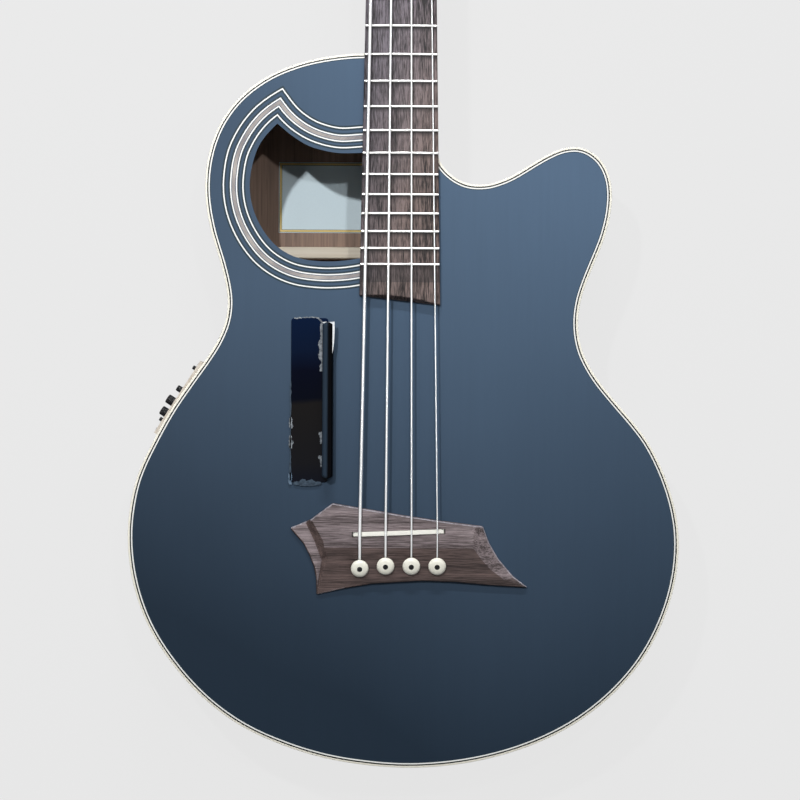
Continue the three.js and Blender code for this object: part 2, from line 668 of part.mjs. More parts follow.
// Braces under the soundboard and on the back
const braceWidth = 10;
const topBraceHeight = 13;
const backBraceHeight = 15;
const braceTaper = 40;
const braceEndHeight = 3;
const crossBraceAbovePlate = 96.6;
const crossBraceDegrees = 35;
const upperBraceGap = 2.7;
const backBraceDownShares = [0.2675, 0.52, 0.80];
const braceRoom = plate(inset(innerLining + glueGap), backThickness, topZ - topThickness);
function crossBar(degrees) {
  const bar = new THREE.BoxGeometry(bodyWidth, braceWidth, topBraceHeight);
  bar.rotateZ(THREE.MathUtils.degToRad(degrees));
  bar.translate(0, bridgePlateTopY + crossBraceAbovePlate, topZ - topThickness - topBraceHeight / 2);
  return solidOf(bar);
}
addPiece(bass, 'x_brace',
  crossBar(crossBraceDegrees).add(crossBar(-crossBraceDegrees)).intersect(braceRoom), paleSpruce);
const upperBraceTopY = jointY - innerWall - neckBlockLength - upperBraceGap;
addPiece(bass, 'upper_brace', block(
  -bodyWidth / 2, bodyWidth / 2, upperBraceTopY - braceWidth, upperBraceTopY,
  topZ - topThickness - topBraceHeight, topZ - topThickness,
).intersect(braceRoom), paleSpruce);
backBraceDownShares.forEach((down, i) => {
  const y = jointY - down * bodyLength;
  const bar = block(-bodyWidth / 2, bodyWidth / 2, y - braceWidth / 2, y + braceWidth / 2,
    backThickness, backThickness + backBraceHeight).intersect(braceRoom);
  const { min, max } = bar.boundingBox();
  const [lowZ, highZ] = [backThickness, backThickness + backBraceHeight];
  const profile = [
    new THREE.Vector2(min[0], lowZ), new THREE.Vector2(max[0], lowZ),
    new THREE.Vector2(max[0], lowZ + braceEndHeight), new THREE.Vector2(max[0] - braceTaper, highZ),
    new THREE.Vector2(min[0] + braceTaper, highZ), new THREE.Vector2(min[0], lowZ + braceEndHeight),
  ];
  addPiece(bass, `back_brace_${i + 1}`,
    profileAlongY(profile, y - braceWidth / 2, y + braceWidth / 2).intersect(bar), paleSpruce);
});

// Paper label on the inside of the back, seen through the soundhole
const labelWidth = 104;
const labelHeight = 61;
const labelThickness = 0.4;
const labelLeftX = -105;
const labelBottomShare = 0.2355;
const labelBottomY = jointY - labelBottomShare * bodyLength;
addPiece(bass, 'label', block(
  labelLeftX, labelLeftX + labelWidth, labelBottomY, labelBottomY + labelHeight,
  backThickness, backThickness + labelThickness,
), labelPaper);

// Fingerboard with its frets hammered in: a cambered board that widens to the body
const camberShares = [-1, -0.6, 0, 0.6, 1];
const boardEndShares = [[-1, 0], [-0.3, 0], [0.34, -0.34], [1, -1]];
const boardEndDrop = 7.6;
const boardHalfWidth = (y) => {
  const widening = (twelfthFretWidth - nutWidth) / (scaleLength / 2);
  return (nutWidth + widening * (scaleLength - y)) / 2;
};
function boardRing(y, raise) {
  const half = boardHalfWidth(y);
  const top = camberShares.map((share) => new THREE.Vector3(
    share * half, y, boardTopZ + raise - camberDrop(share * half),
  ));
  return [new THREE.Vector3(half, y, topZ), new THREE.Vector3(-half, y, topZ), ...top];
}
function fingerboard() {
  const rings = [boardRing(scaleLength, 0)];
  for (let fret = 1; fret <= fretCount; fret++) {
    const y = scaleLength * 2 ** (-fret / 12);
    rings.push(boardRing(y + fretWidth / 2, 0), boardRing(y + fretCrownWidth / 2, fretHeight));
    rings.push(boardRing(y - fretCrownWidth / 2, fretHeight), boardRing(y - fretWidth / 2, 0));
  }
  rings.push(boardRing(boardEndY - boardEndDrop - cutOverrun, 0));
  const endHalf = boardHalfWidth(boardEndY);
  const keep = boardEndShares.map(([across, down]) => (
    new THREE.Vector2(across * (endHalf + cutOverrun), boardEndY + down * boardEndDrop)
  ));
  keep.push(new THREE.Vector2(endHalf + cutOverrun, scaleLength));
  keep.push(new THREE.Vector2(-endHalf - cutOverrun, scaleLength));
  return loft(rings).intersect(plate(keep, topZ, boardTopZ + fretHeight + cutOverrun));
}
addPiece(bass, 'fingerboard', fingerboard(), wengeWood);

// Nut: a bone block at the end of the fingerboard, slotted for the strings
const nutHeight = boardThickness + fretHeight + nutStringClearance + nutTopClearance;
let nut = block(-nutWidth / 2, nutWidth / 2, scaleLength, scaleLength + nutThickness, topZ, topZ + nutHeight);
stringDiameters.forEach((diameter, i) => {
  const x = stringAtNutX(i);
  const half = diameter / 2 + glueGap;
  nut = nut.subtract(block(
    x - half, x + half, scaleLength - cutOverrun, scaleLength + nutThickness + cutOverrun,
    nutFloorZ(x) - glueGap, topZ + nutHeight + cutOverrun,
  ));
});
addPiece(bass, 'nut', nut, bonePlastic);

// Headstock frame: it leans back behind the nut
const headAngleDegrees = 14;
const headLength = 190;
const headWidth = 88;
const headThickness = 16;
const headBlendLength = 20;
const headOutlineShares = [
  [0.24, 0.00], [0.30, 0.05], [0.45, 0.15], [0.50, 0.25], [0.49, 0.45], [0.46, 0.70],
  [0.45, 0.88], [0.38, 0.965], [0.22, 0.985], [0.00, 1.00],
];
const headRoot = new THREE.Vector3(0, scaleLength + nutThickness, topZ);
const head = new THREE.Group();
head.position.copy(headRoot);
head.rotation.x = -THREE.MathUtils.degToRad(headAngleDegrees);
head.updateMatrix();
bass.add(head);

// Tuning machines: closed worm drives, two on each side
const postRadius = 4.6;
const postHeight = 18;
const postCapRadius = 6;
const postCapHeight = 4;
const postX = 26;
const postNearY = 52;
const postFarY = 118;
const gearRadius = 6.5;
const gearThickness = 4.5;
const bushingFlangeRadius = 8.5;
const bushingFlangeThickness = 2;
const bushingSleeveRadius = 6.6;
const bushingLength = 10;
const housingHalfWidth = 13;
const housingTail = 14;
const housingFront = 9;
const housingDepth = 13;
const housingRound = 3;
const wormRadius = 3;
const keyShaftRadius = 2.6;
const keyGap = 6;
const keyButtonLength = 24;
const keyButtonBreadth = 20;
const keyButtonThickness = 7;
const keyBevel = 1.5;
const paddleSteps = 16;
const tunerSegments = 12;
const tuners = [
  { tone: 'e', side: -1, y: postNearY }, { tone: 'a', side: -1, y: postFarY },
  { tone: 'd', side: 1, y: postFarY }, { tone: 'g', side: 1, y: postNearY },
];
const headBottom = -headThickness - glueGap;
const shaftBack = gearRadius + glueGap + wormRadius;
const gearLow = headBottom - housingDepth / 2 - gearThickness / 2;
const gearHigh = gearLow + gearThickness;
const shaftLevel = (gearLow + gearHigh) / 2;
const tunerHole = ({ side, y }) => solidOf(turned([
  [0, -headThickness - cutOverrun], [bushingSleeveRadius + glueGap, -headThickness - cutOverrun],
  [bushingSleeveRadius + glueGap, cutOverrun], [0, cutOverrun],
], tunerSegments).translate(side * postX, y, 0).applyMatrix4(head.matrix));

function tunerHousing(side) {
  const plan = new THREE.Shape();
  const [left, right, low, high] = [-housingHalfWidth, housingHalfWidth, -housingTail, housingFront];
  plan.moveTo(left + housingRound, low);
  plan.lineTo(right - housingRound, low);
  plan.absarc(right - housingRound, low + housingRound, housingRound, -Math.PI / 2, 0, false);
  plan.absarc(right - housingRound, high - housingRound, housingRound, 0, Math.PI / 2, false);
  plan.absarc(left + housingRound, high - housingRound, housingRound, Math.PI / 2, Math.PI, false);
  plan.absarc(left + housingRound, low + housingRound, housingRound, Math.PI, 3 * Math.PI / 2, false);
  const can = solidOf(new THREE.ExtrudeGeometry(plan, {
    depth: housingDepth, bevelEnabled: false, curveSegments: 2,
  }).translate(0, 0, headBottom - housingDepth));
  const gearRoom = turnedSolid([
    [0, gearLow - glueGap], [gearRadius + glueGap * 2, gearLow - glueGap],
    [gearRadius + glueGap * 2, headBottom + cutOverrun], [0, headBottom + cutOverrun],
  ], tunerSegments);
  const innerEnd = -side * (housingHalfWidth - housingRound);
  const outerEnd = side * (housingHalfWidth + cutOverrun);
  const wormRoom = new THREE.CylinderGeometry(
    wormRadius + glueGap, wormRadius + glueGap, Math.abs(outerEnd - innerEnd), tunerSegments,
  );
  wormRoom.rotateZ(Math.PI / 2);
  wormRoom.translate((innerEnd + outerEnd) / 2, -shaftBack, shaftLevel);
  return can.subtract(gearRoom).subtract(solidOf(wormRoom));
}
function tunerPost() {
  return turnedSolid([
    [0, gearLow], [gearRadius, gearLow], [gearRadius, gearHigh], [postRadius, gearHigh],
    [postRadius, postHeight - postCapHeight], [postCapRadius, postHeight - postCapHeight / 2],
    [postCapRadius, postHeight], [0, postHeight],
  ], tunerSegments);
}
function tunerBushing() {
  const bore = postRadius + glueGap;
  return turnedSolid([
    [bore, -bushingLength], [bushingSleeveRadius, -bushingLength], [bushingSleeveRadius, glueGap],
    [bushingFlangeRadius, glueGap], [bushingFlangeRadius, glueGap + bushingFlangeThickness / 2],
    [bushingFlangeRadius - bushingFlangeThickness / 2, glueGap + bushingFlangeThickness],
    [bore, glueGap + bushingFlangeThickness], [bore, -bushingLength],
  ], tunerSegments);
}
function tunerKey(side) {
  const shaftStart = -(housingHalfWidth - housingRound) + glueGap;
  const wormEnd = housingHalfWidth - housingRound;
  const buttonStart = headWidth / 2 - postX + keyGap;
  const shaft = turnedAlongX([
    [0, shaftStart], [wormRadius, shaftStart], [wormRadius, wormEnd], [keyShaftRadius, wormEnd],
    [keyShaftRadius, buttonStart + keyButtonLength / 4], [0, buttonStart + keyButtonLength / 4],
  ], tunerSegments);
  const [longHalf, shortHalf] = [keyButtonLength / 2 - keyBevel, keyButtonBreadth / 2 - keyBevel];
  const paddle = new THREE.Shape(new THREE.EllipseCurve(
    buttonStart + keyButtonLength / 2, 0, longHalf, shortHalf,
  ).getPoints(paddleSteps).slice(1));
  const button = new THREE.ExtrudeGeometry(paddle, {
    depth: keyButtonThickness - 2 * keyBevel, bevelEnabled: true, bevelSize: keyBevel,
    bevelThickness: keyBevel, bevelSegments: 1,
  });
  button.translate(0, 0, -keyButtonThickness / 2 + keyBevel);
  button.rotateX(Math.PI / 2);
  const key = shaft.add(solidOf(button));
  return side > 0 ? key : key.rotate([0, 0, 180]);
}
tuners.forEach(({ tone, side, y }) => {
  const place = new THREE.Group();
  place.position.set(side * postX, y, 0);
  head.add(place);
  addPiece(place, `tuner_housing_${tone}`, tunerHousing(side), chromePlate);
  addPiece(place, `tuner_post_${tone}`, tunerPost(), chromePlate);
  addPiece(place, `tuner_bushing_${tone}`, tunerBushing(), chromePlate);
  const keyMesh = addPiece(place, `tuner_key_${tone}`, tunerKey(side), chromePlate);
  keyMesh.position.set(0, -shaftBack, shaftLevel);
});

// Truss rod in a channel under the fingerboard, its adjusting nut in a pocket behind the string nut
const rodWidth = 6.4;
const rodDepth = 9.4;
const rodStart = 10;
const rodNutRadius = 3.5;
const rodNutLevel = 8;
const rodNutLength = 14;
const rodNutSides = 6;
const pocketHalfWidth = 6;
const pocketLength = 24;
const pocketDepth = 13;
const rodStartY = jointY + rodStart;
const rodEndY = scaleLength + nutThickness;
const rodNut = turnedAlongX([
  [0, -rodNutLength / 2], [rodNutRadius, -rodNutLength / 2], [rodNutRadius, rodNutLength], [0, rodNutLength],
], rodNutSides).rotate([0, 0, 90]).translate([0, rodEndY, topZ - rodNutLevel]);
const rodBar = block(-rodWidth / 2, rodWidth / 2, rodStartY, rodEndY,
  topZ - glueGap - rodDepth, topZ - glueGap);
addPiece(bass, 'truss_rod', rodBar.add(rodNut), rodSteel);
const rodChannel = block(-rodWidth / 2 - glueGap, rodWidth / 2 + glueGap, rodStartY - glueGap, rodEndY,
  topZ - rodDepth - 2 * glueGap, topZ + cutOverrun);
const nutRunOut = block(-rodNutRadius - glueGap, rodNutRadius + glueGap, rodEndY - rodNutLength,
  rodEndY + cutOverrun, topZ - rodNutLevel - rodNutRadius - 2 * glueGap, topZ + cutOverrun);
const rodPocket = block(-pocketHalfWidth, pocketHalfWidth, rodEndY, rodEndY + pocketLength,
  topZ - pocketDepth, topZ + cutOverrun);

// Neck: shaft, heel and headstock from one length of wood
const neckArcSteps = 10;
const nutSquarenessShare = 0.8;
const headSquarenessShare = 0.35;
const heelPinchShare = Math.log(heelFootWidth / twelfthFretWidth) / Math.log(Math.SQRT1_2) / 2;
function neckRing(y, halfWidth, depth, squareness, frame) {
  const ring = [];
  for (let i = 0; i <= neckArcSteps; i++) {
    const turn = (i / neckArcSteps) * Math.PI;
    const across = Math.sign(Math.cos(turn)) * Math.abs(Math.cos(turn)) ** squareness;
    const point = new THREE.Vector3(
      Math.abs(Math.cos(turn)) < weldDistance ? 0 : halfWidth * across, 0,
      -depth * Math.abs(Math.sin(turn)) ** squareness,
    );
    ring.push(frame ? point.setY(y).applyMatrix4(frame) : point.set(point.x, y, topZ + point.z));
  }
  return ring;
}
function neckShaft() {
  const rings = [];
  const heelY = jointY + glueGap;
  const heelSteps = 6;
  for (let i = 0; i <= heelSteps; i++) {
    const share = i / heelSteps;
    const y = heelY + share * heelLength;
    const depth = neckDepthAtHeel + (heelDepth - neckDepthAtHeel) * (1 - share) ** 2;
    rings.push(neckRing(y, boardHalfWidth(y), depth, 1 + (1 - share) * heelPinchShare));
  }
  for (const share of [0.5, 1]) {
    const y = heelY + heelLength + share * (scaleLength - heelY - heelLength);
    const depth = neckDepthAtHeel + share * (neckDepthAtNut - neckDepthAtHeel);
    rings.push(neckRing(y, boardHalfWidth(y), depth, 1));
  }
  const neckHalf = nutWidth / 2;
  const depthBehindNut = (neckDepthAtNut + headThickness) / 2;
  rings.push(neckRing(scaleLength + nutThickness, neckHalf, depthBehindNut, nutSquarenessShare));
  rings.push(neckRing(headBlendLength, neckHalf, headThickness, headSquarenessShare, head.matrix));
  return loft(rings);
}
function headPlate() {
  const right = headOutlineShares.map(([across, along]) => (
    new THREE.Vector2(across * headWidth, along * headLength)
  ));
  const left = right.slice(0, -1).reverse().map((point) => new THREE.Vector2(-point.x, point.y));
  const board = new THREE.ExtrudeGeometry(new THREE.Shape([...right, ...left]), {
    depth: headThickness, bevelEnabled: false,
  });
  board.translate(0, 0, -headThickness);
  return solidOf(board.applyMatrix4(head.matrix));
}
let neck = neckShaft().add(headPlate());
for (const cut of [rodChannel, nutRunOut, rodPocket, ...tuners.map(tunerHole)]) neck = neck.subtract(cut);
addPiece(bass, 'neck', neck, neckWood);

// Cover over the pocket of the truss rod, screwed to the face of the headstock
const coverThickness = 2;
const coverShares = [[0.36, 0], [0.5, 0.12], [0.42, 0.62], [0.14, 0.98], [0, 1]];
const coverWidth = 26;
const coverLength = 42;
const coverStart = 1;
const coverRight = coverShares.map(([across, along]) => (
  new THREE.Vector2(across * coverWidth, coverStart + along * coverLength)
));
const coverLeft = coverRight.slice(0, -1).reverse().map((point) => new THREE.Vector2(-point.x, point.y));
addPiece(head, 'truss_cover', plate([...coverRight, ...coverLeft], glueGap, glueGap + coverThickness),
  matteBlack);

// Strings: each runs from its ball end over saddle and nut and winds down its post
const windTurns = 2;
const windSteps = 16;
const windClearance = 0.55;
const windLift = 1;
function windPoints(i) {
  const radius = stringDiameters[i] / 2;
  const { side, y } = tuners[i];
  const toHead = head.matrix.clone().invert();
  const start = stringLows[i].nutBack.clone().applyMatrix4(toHead);
  const reach = postRadius + glueGap + radius;
  const [fromX, fromY] = [start.x - side * postX, start.y - y];
  const swing = -side * Math.acos(reach / Math.hypot(fromX, fromY));
  const first = Math.atan2(fromY, fromX) + swing;
  const pitch = stringDiameters[i] + windClearance;
  const lowest = glueGap + bushingFlangeThickness + windLift + radius;
  const points = [];
  for (let step = 0; step <= windTurns * windSteps; step++) {
    const turn = first - side * (step / windSteps) * 2 * Math.PI;
    const height = lowest + (windTurns - step / windSteps) * pitch;
    points.push(new THREE.Vector3(
      side * postX + reach * Math.cos(turn), y + reach * Math.sin(turn), height,
    ).applyMatrix4(head.matrix));
  }
  return points;
}
function leastOwnGap(points, diameter) {
  let least = Infinity;
  for (let a = 0; a < points.length; a++) {
    for (let b = a + windSteps / 2; b < points.length; b++) {
      least = Math.min(least, points[a].distanceTo(points[b]) - diameter);
    }
  }
  return least;
}
stringDiameters.forEach((diameter, i) => {
  const { ballTop, end, low, bend, underHead, crown, nutFront, nutBack } = stringLows[i];
  const wind = windPoints(i);
  const { tone } = tuners[i];
  const route = [end, low, bend, underHead, crown, nutFront, nutBack, ...wind];
  const wire = sweep(route, diameter / 2, stringSides);
  const ball = solidOf(turned([
    [0, ballTop - ballLength], [ballRadius, ballTop - ballLength], [ballRadius, ballTop], [0, ballTop],
  ], ballSides).translate(0, ballPlace, 0).applyMatrix4(pinFrames[i].matrix));
  console.log(`string ${tone}: least gap between turns ${leastOwnGap(wind, diameter).toFixed(2)} mm`);
  addPiece(bass, `string_${tone}`, wire.add(ball), nickelString);
});

// Thumb rest: a bent strip of gloss plastic, its foot glued to the soundboard
const restLeftX = -87.5;
const restRightX = -62;
const restLipWidth = 9;
const restLipHeight = 13;
const restLipRound = 2;
const restFootThickness = 1.6;
const restLength = 132.5;
const restLipInset = 3.5;
const restAboveBridge = 16.6;
const restBottomY = bridgeTopY + restAboveBridge;
const restTopY = restBottomY + restLength;
const restLip = profileAlongY([
  new THREE.Vector2(restRightX, topZ), new THREE.Vector2(restRightX + restLipWidth, topZ),
  new THREE.Vector2(restRightX + restLipWidth, topZ + restLipHeight - restLipRound),
  new THREE.Vector2(restRightX + restLipWidth - restLipRound, topZ + restLipHeight),
  new THREE.Vector2(restRightX + restLipRound, topZ + restLipHeight),
  new THREE.Vector2(restRightX, topZ + restLipHeight - restLipRound),
], restBottomY + restLipInset, restTopY - restLipInset);
const restFoot = block(restLeftX, restRightX + restLipWidth / 2, restBottomY, restTopY,
  topZ, topZ + restFootThickness);
addPiece(bass, 'thumb_rest', restFoot.add(restLip), glossBlack);

// Preamp: controls through the panel, the electronics in a box behind it, and its battery
const controlShaftRadius = 2;
const controlShaftLength = 8;
const buttonTravel = 1.2;
const boxClearance = 1;
const largeKnob = { headRadius: 3.9, headHeight: 7.2 };
const middleKnob = { headRadius: 3.9, headHeight: 6.2 };
const smallKnob = { headRadius: 2.6, headHeight: 5.2 };
const pushButton = { headRadius: 1.7, headHeight: 3.6 };
const controls = [
  { name: 'volume_knob', ...largeKnob, alongShare: 0.084, upShare: 0.3 },
  { name: 'bass_knob', ...middleKnob, alongShare: 0.237, upShare: 0.3 },
  { name: 'treble_knob', ...smallKnob, alongShare: -0.084, upShare: 0.3 },
  { name: 'tuner_button', ...pushButton, alongShare: 0.333, upShare: 0.3 },
  { name: 'phase_button', ...pushButton, alongShare: -0.39, upShare: 0.3 },
];
const controlEdgeShare = 0.8;
const controlSegments = 14;
const controlAt = ({ alongShare, upShare }) => [0, alongShare * panelLength, upShare * panelHeight];
const panelHalf = [panelLength / 2, panelHeight / 2];
let panel = block(0, panelThickness, -panelHalf[0], panelHalf[0], -panelHalf[1], panelHalf[1]);
const boxHalfLength = windowHalfLength - boxClearance;
const boxHalfHeight = windowHalfHeight - boxClearance;
let preampBox = block(
  -preampBoxDepth, -glueGap, -boxHalfLength, boxHalfLength, -boxHalfHeight, boxHalfHeight,
);
for (const control of controls) {
  const isButton = control.name.endsWith('button');
  const shaft = isButton ? control.headRadius : controlShaftRadius;
  const inner = -controlShaftLength;
  const headStart = isButton ? panelThickness : panelThickness + glueGap;
  const bore = turnedAlongX([
    [0, inner - glueGap - buttonTravel], [shaft + glueGap, inner - glueGap - buttonTravel],
    [shaft + glueGap, panelThickness + cutOverrun], [0, panelThickness + cutOverrun],
  ], controlSegments).translate(controlAt(control));
  panel = panel.subtract(bore);
  preampBox = preampBox.subtract(bore);
  const body = turnedAlongX([
    [0, inner], [shaft, inner], [shaft, headStart], [control.headRadius, headStart],
    [control.headRadius, panelThickness + control.headHeight * controlEdgeShare],
    [control.headRadius * controlEdgeShare, panelThickness + control.headHeight],
    [0, panelThickness + control.headHeight],
  ], controlSegments);
  const mesh = addPiece(preamp, control.name, body, matteBlack);
  mesh.position.set(...controlAt(control));
}
addPiece(preamp, 'preamp_panel', panel, panelWood);
addPiece(preamp, 'preamp_box', preampBox, matteBlack);
const batteryLength = 48.5;
const batteryWidth = 26.5;
const batteryDepth = 17.5;
addPiece(preamp, 'battery', block(
  -preampBoxDepth - glueGap - batteryDepth, -preampBoxDepth - glueGap, -batteryLength / 2, batteryLength / 2,
  -batteryWidth / 2, batteryWidth / 2,
), matteBlack);

// Tail jack: flange outside, threaded barrel through the tail block, nut inside
const jackNutStart = innerWall + tailBlockLength + 2 * glueGap;
const jackBody = turnedAlongX([
  [0, -jackFlangeThickness], [jackFlangeRadius - glueGap, -jackFlangeThickness], [jackFlangeRadius, 0],
  [jackBarrelRadius, 0], [jackBarrelRadius, jackNutStart], [jackNutRadius, jackNutStart],
  [jackNutRadius, jackNutStart + jackFlangeThickness], [jackBarrelRadius, jackNutStart + jackFlangeThickness],
  [jackBarrelRadius, jackBarrelLength], [0, jackBarrelLength],
], jackSegments);
const jackBore = turnedAlongX([
  [0, -jackFlangeThickness - cutOverrun], [jackBoreRadius, -jackFlangeThickness - cutOverrun],
  [jackBoreRadius, jackBoreDepth], [0, jackBoreDepth],
], jackSegments);
addPiece(jack, 'endpin_jack', jackBody.subtract(jackBore), chromePlate);

export default bass;
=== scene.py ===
import json
import math
from itertools import product

import bmesh
import bpy
from mathutils import Matrix, Vector
from mathutils.geometry import interpolate_bezier, intersect_line_line_2d, tessellate_polygon
from mathutils.noise import noise


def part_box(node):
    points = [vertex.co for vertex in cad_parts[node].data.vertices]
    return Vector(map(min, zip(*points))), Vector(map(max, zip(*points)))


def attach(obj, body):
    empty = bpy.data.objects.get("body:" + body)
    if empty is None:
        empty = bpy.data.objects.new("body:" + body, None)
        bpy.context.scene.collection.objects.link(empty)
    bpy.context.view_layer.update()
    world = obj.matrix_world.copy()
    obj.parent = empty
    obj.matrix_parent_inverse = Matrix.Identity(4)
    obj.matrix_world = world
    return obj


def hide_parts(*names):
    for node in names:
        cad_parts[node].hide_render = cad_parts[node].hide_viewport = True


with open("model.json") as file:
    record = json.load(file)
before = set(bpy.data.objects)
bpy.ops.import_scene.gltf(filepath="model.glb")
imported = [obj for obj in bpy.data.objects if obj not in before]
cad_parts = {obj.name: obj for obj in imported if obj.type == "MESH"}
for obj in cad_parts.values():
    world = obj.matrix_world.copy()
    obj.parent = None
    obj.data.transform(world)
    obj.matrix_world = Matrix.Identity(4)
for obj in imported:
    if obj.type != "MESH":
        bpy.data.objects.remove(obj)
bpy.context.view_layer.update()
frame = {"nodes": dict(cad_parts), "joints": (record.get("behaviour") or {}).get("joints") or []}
MM = 0.001


# Studio: the guitar lies on its back on a pale floor under narrow ceiling lamps, whose light falls
# from the neck's side, and the camera looks straight down on it from above the soundhole.
camera_place = (0.0006, 0.1068, 1.395)
camera_roll = 0.0051
camera_lens = 72.4
room_pale = (0.815, 0.815, 0.815, 1)
floor_glow = (0.83, 0.83, 0.83, 1)
floor_glow_share = 0.92
floor_shade = (0.62, 0.62, 0.63, 1)
floor_reach = 30
floor_drop = 0.0005
room_glow = 0.11
lamp_places = {
    "head_strip": ((0, 2.1, 1.2), (0, 0.1, 0.1), (1.1, 0.06), 28),
    "near_lamp": ((-0.39, 0.73, 1.48), (-0.2, 0.35, 0.1), (0.03, 0.06), 11.5),
    "middle_lamp": ((0.194, 0.496, 1.48), (-0.1, 0.33, 0.1), (0.03, 0.04), 3.5),
    "bass_strip": ((-0.72, 0.55, 1.48), (-0.72, 0.4, 0.1), (0.05, 1.0), 1.0),
    "treble_strip": ((0.95, 0.60, 1.42), (0.2, 0.3, 0.1), (0.05, 0.9), 2.5),
}


class Socket:
    """A socket of a node tree, on which Python sums build Math nodes."""

    def __init__(self, end):
        self.end = end

    def node(self, kind, settings=None, inputs=None, out=0):
        """A new node, its settings made first and its inputs set or joined, as one of its outputs."""
        made = self.end.id_data.nodes.new(kind)
        for name, value in (settings or {}).items():
            if name == "stops":
                ramp = made.color_ramp
                while len(ramp.elements) < len(value):
                    ramp.elements.new(1)
                for element, (place, colour) in zip(ramp.elements, value):
                    element.position = place
                    element.color = colour
            else:
                setattr(made, name, value)
        for key, value in (inputs or {}).items():
            if isinstance(value, Socket):
                self.end.id_data.links.new(value.end, made.inputs[key])
            else:
                made.inputs[key].default_value = value
        return Socket(made.outputs[out])

    def math(self, operation, *values, clamp=False):
        settings = {"operation": operation, "use_clamp": clamp}
        return self.node("ShaderNodeMath", settings, dict(enumerate(values)))

    def __add__(self, other):
        return self.math("ADD", self, other)

    def __sub__(self, other):
        return self.math("SUBTRACT", self, other)

    def __rsub__(self, other):
        return self.math("SUBTRACT", other, self)

    def __mul__(self, other):
        return self.math("MULTIPLY", self, other)

    def __truediv__(self, other):
        return self.math("DIVIDE", self, other)

    def __pow__(self, other):
        return self.math("POWER", self, other)

    def __gt__(self, other):
        return self.math("GREATER_THAN", self, other)

    __radd__ = __add__
    __rmul__ = __mul__

    def part(self, axis):
        return self.node("ShaderNodeSeparateXYZ", None, {"Vector": self}, out=axis)

    def clamped(self):
        return self.math("MULTIPLY", self, 1, clamp=True)

    def tint(self, low, high):
        """The colour between two others at this value."""
        low, high = ((*end, 1) if isinstance(end, tuple) else end for end in (low, high))
        return self.node("ShaderNodeMix", {"data_type": "RGBA"}, {0: self, 6: low, 7: high}, out=2)

    def shaded(self, share, low, high):
        """This colour times the colour between two others at a share."""
        inputs = {0: 1.0, 6: self, 7: share.tint(low, high)}
        return self.node("ShaderNodeMix", {"data_type": "RGBA", "blend_type": "MULTIPLY"}, inputs, out=2)

    def mottle(self, scale, detail=3, rough=0.5, stretch=(1, 1, 1)):
        """Noise from 0 to 1, this socket being the place, drawn out along the axes with small stretch."""
        place = self.node("ShaderNodeMapping", None, {"Vector": self, "Scale": stretch})
        inputs = {"Vector": place, "Scale": scale, "Detail": detail, "Roughness": rough}
        return self.node("ShaderNodeTexNoise", None, inputs)


def new_finish(name, uv=False, **fixed):
    """A material, its shader and the place on the piece, with the shader's unvarying values set."""
    material = bpy.data.materials.new(name)
    material.use_nodes = True
    shader = material.node_tree.nodes["Principled BSDF"]
    for socket, value in fixed.items():
        shader.inputs[socket.replace("_", " ")].default_value = value
    start = Socket(shader.outputs[0])
    return material, shader, start.node("ShaderNodeTexCoord", out="UV" if uv else "Object")


def in_view(start):
    """1 for what the camera sees, either straight or mirrored in a gloss."""
    seen = start.node("ShaderNodeLightPath", out="Is Camera Ray")
    return seen.math("MAXIMUM", seen, start.node("ShaderNodeLightPath", out="Is Glossy Ray"))


def set_down(name, data):
    """A new object in the scene."""
    thing = bpy.data.objects.new(name, data)
    bpy.context.scene.collection.objects.link(thing)
    return thing


def soft_box(name, place, aim, size, power):
    """A flat lamp in a place, turned to what it is aimed at."""
    lamp = bpy.data.lights.new(name, "AREA")
    lamp.shape, lamp.size, lamp.size_y, lamp.energy = "RECTANGLE", *size, power
    box = set_down(name, lamp)
    box.location = place
    box.rotation_euler = (Vector(aim) - Vector(place)).to_track_quat("-Z", "Y").to_euler()


def pale_floor():
    """The floor, pale to the camera and duller as a source of light."""
    bpy.ops.mesh.primitive_plane_add(size=floor_reach, location=(0, 0, -floor_drop))
    floor = bpy.context.object
    floor.name = "floor"
    material, shader, place = new_finish("pale_floor", Base_Color=floor_shade, Roughness=0.9)
    glow = place.node("ShaderNodeEmission", None, {"Color": floor_glow, "Strength": 1})
    share = in_view(place) * floor_glow_share
    surface = share.node("ShaderNodeMixShader", None, {0: share, 1: Socket(shader.outputs[0]), 2: glow})
    output = material.node_tree.nodes["Material Output"]
    material.node_tree.links.new(surface.end, output.inputs["Surface"])
    floor.data.materials.append(material)


def studio():
    """The camera, the floor, the room's own light and the lamps."""
    scene = bpy.context.scene
    scene.view_settings.view_transform = "Standard"
    lens = bpy.data.cameras.new("camera")
    lens.lens = camera_lens
    scene.camera = set_down("camera", lens)
    scene.camera.location = camera_place
    scene.camera.rotation_euler = (0, 0, camera_roll)
    pale_floor()
    world = bpy.data.worlds.new("room")
    world.use_nodes = True
    scene.world = world
    back = world.node_tree.nodes["Background"]
    back.inputs["Color"].default_value = room_pale
    strength = in_view(Socket(back.outputs[0])) * (1 - room_glow) + room_glow
    world.node_tree.links.new(strength.end, back.inputs["Strength"])
    for name, (place, aim, size, power) in lamp_places.items():
        soft_box(name, place, aim, size, power)


studio()


# Sides: two strips of dark veneer bent over a hot iron. They meet at the tail and under the neck,
# with kerfed linings of spruce glued inside along both edges and a block at each joint.
side_thickness = 3
seam = 0.15
run_steps = 3
lining_width = 6.6
lining_gap = 0.3
lining_skin = 1
kerf_pitch = 6.5
kerf_gap = 1.3
kerf_short = 0.4
block_round = 0.6
sharp_angle = math.radians(28)
flat_angle = math.radians(1)


def box_mm(node):
    """The lowest and the highest corner of a CAD node."""
    low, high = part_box(node)
    return low / MM, high / MM


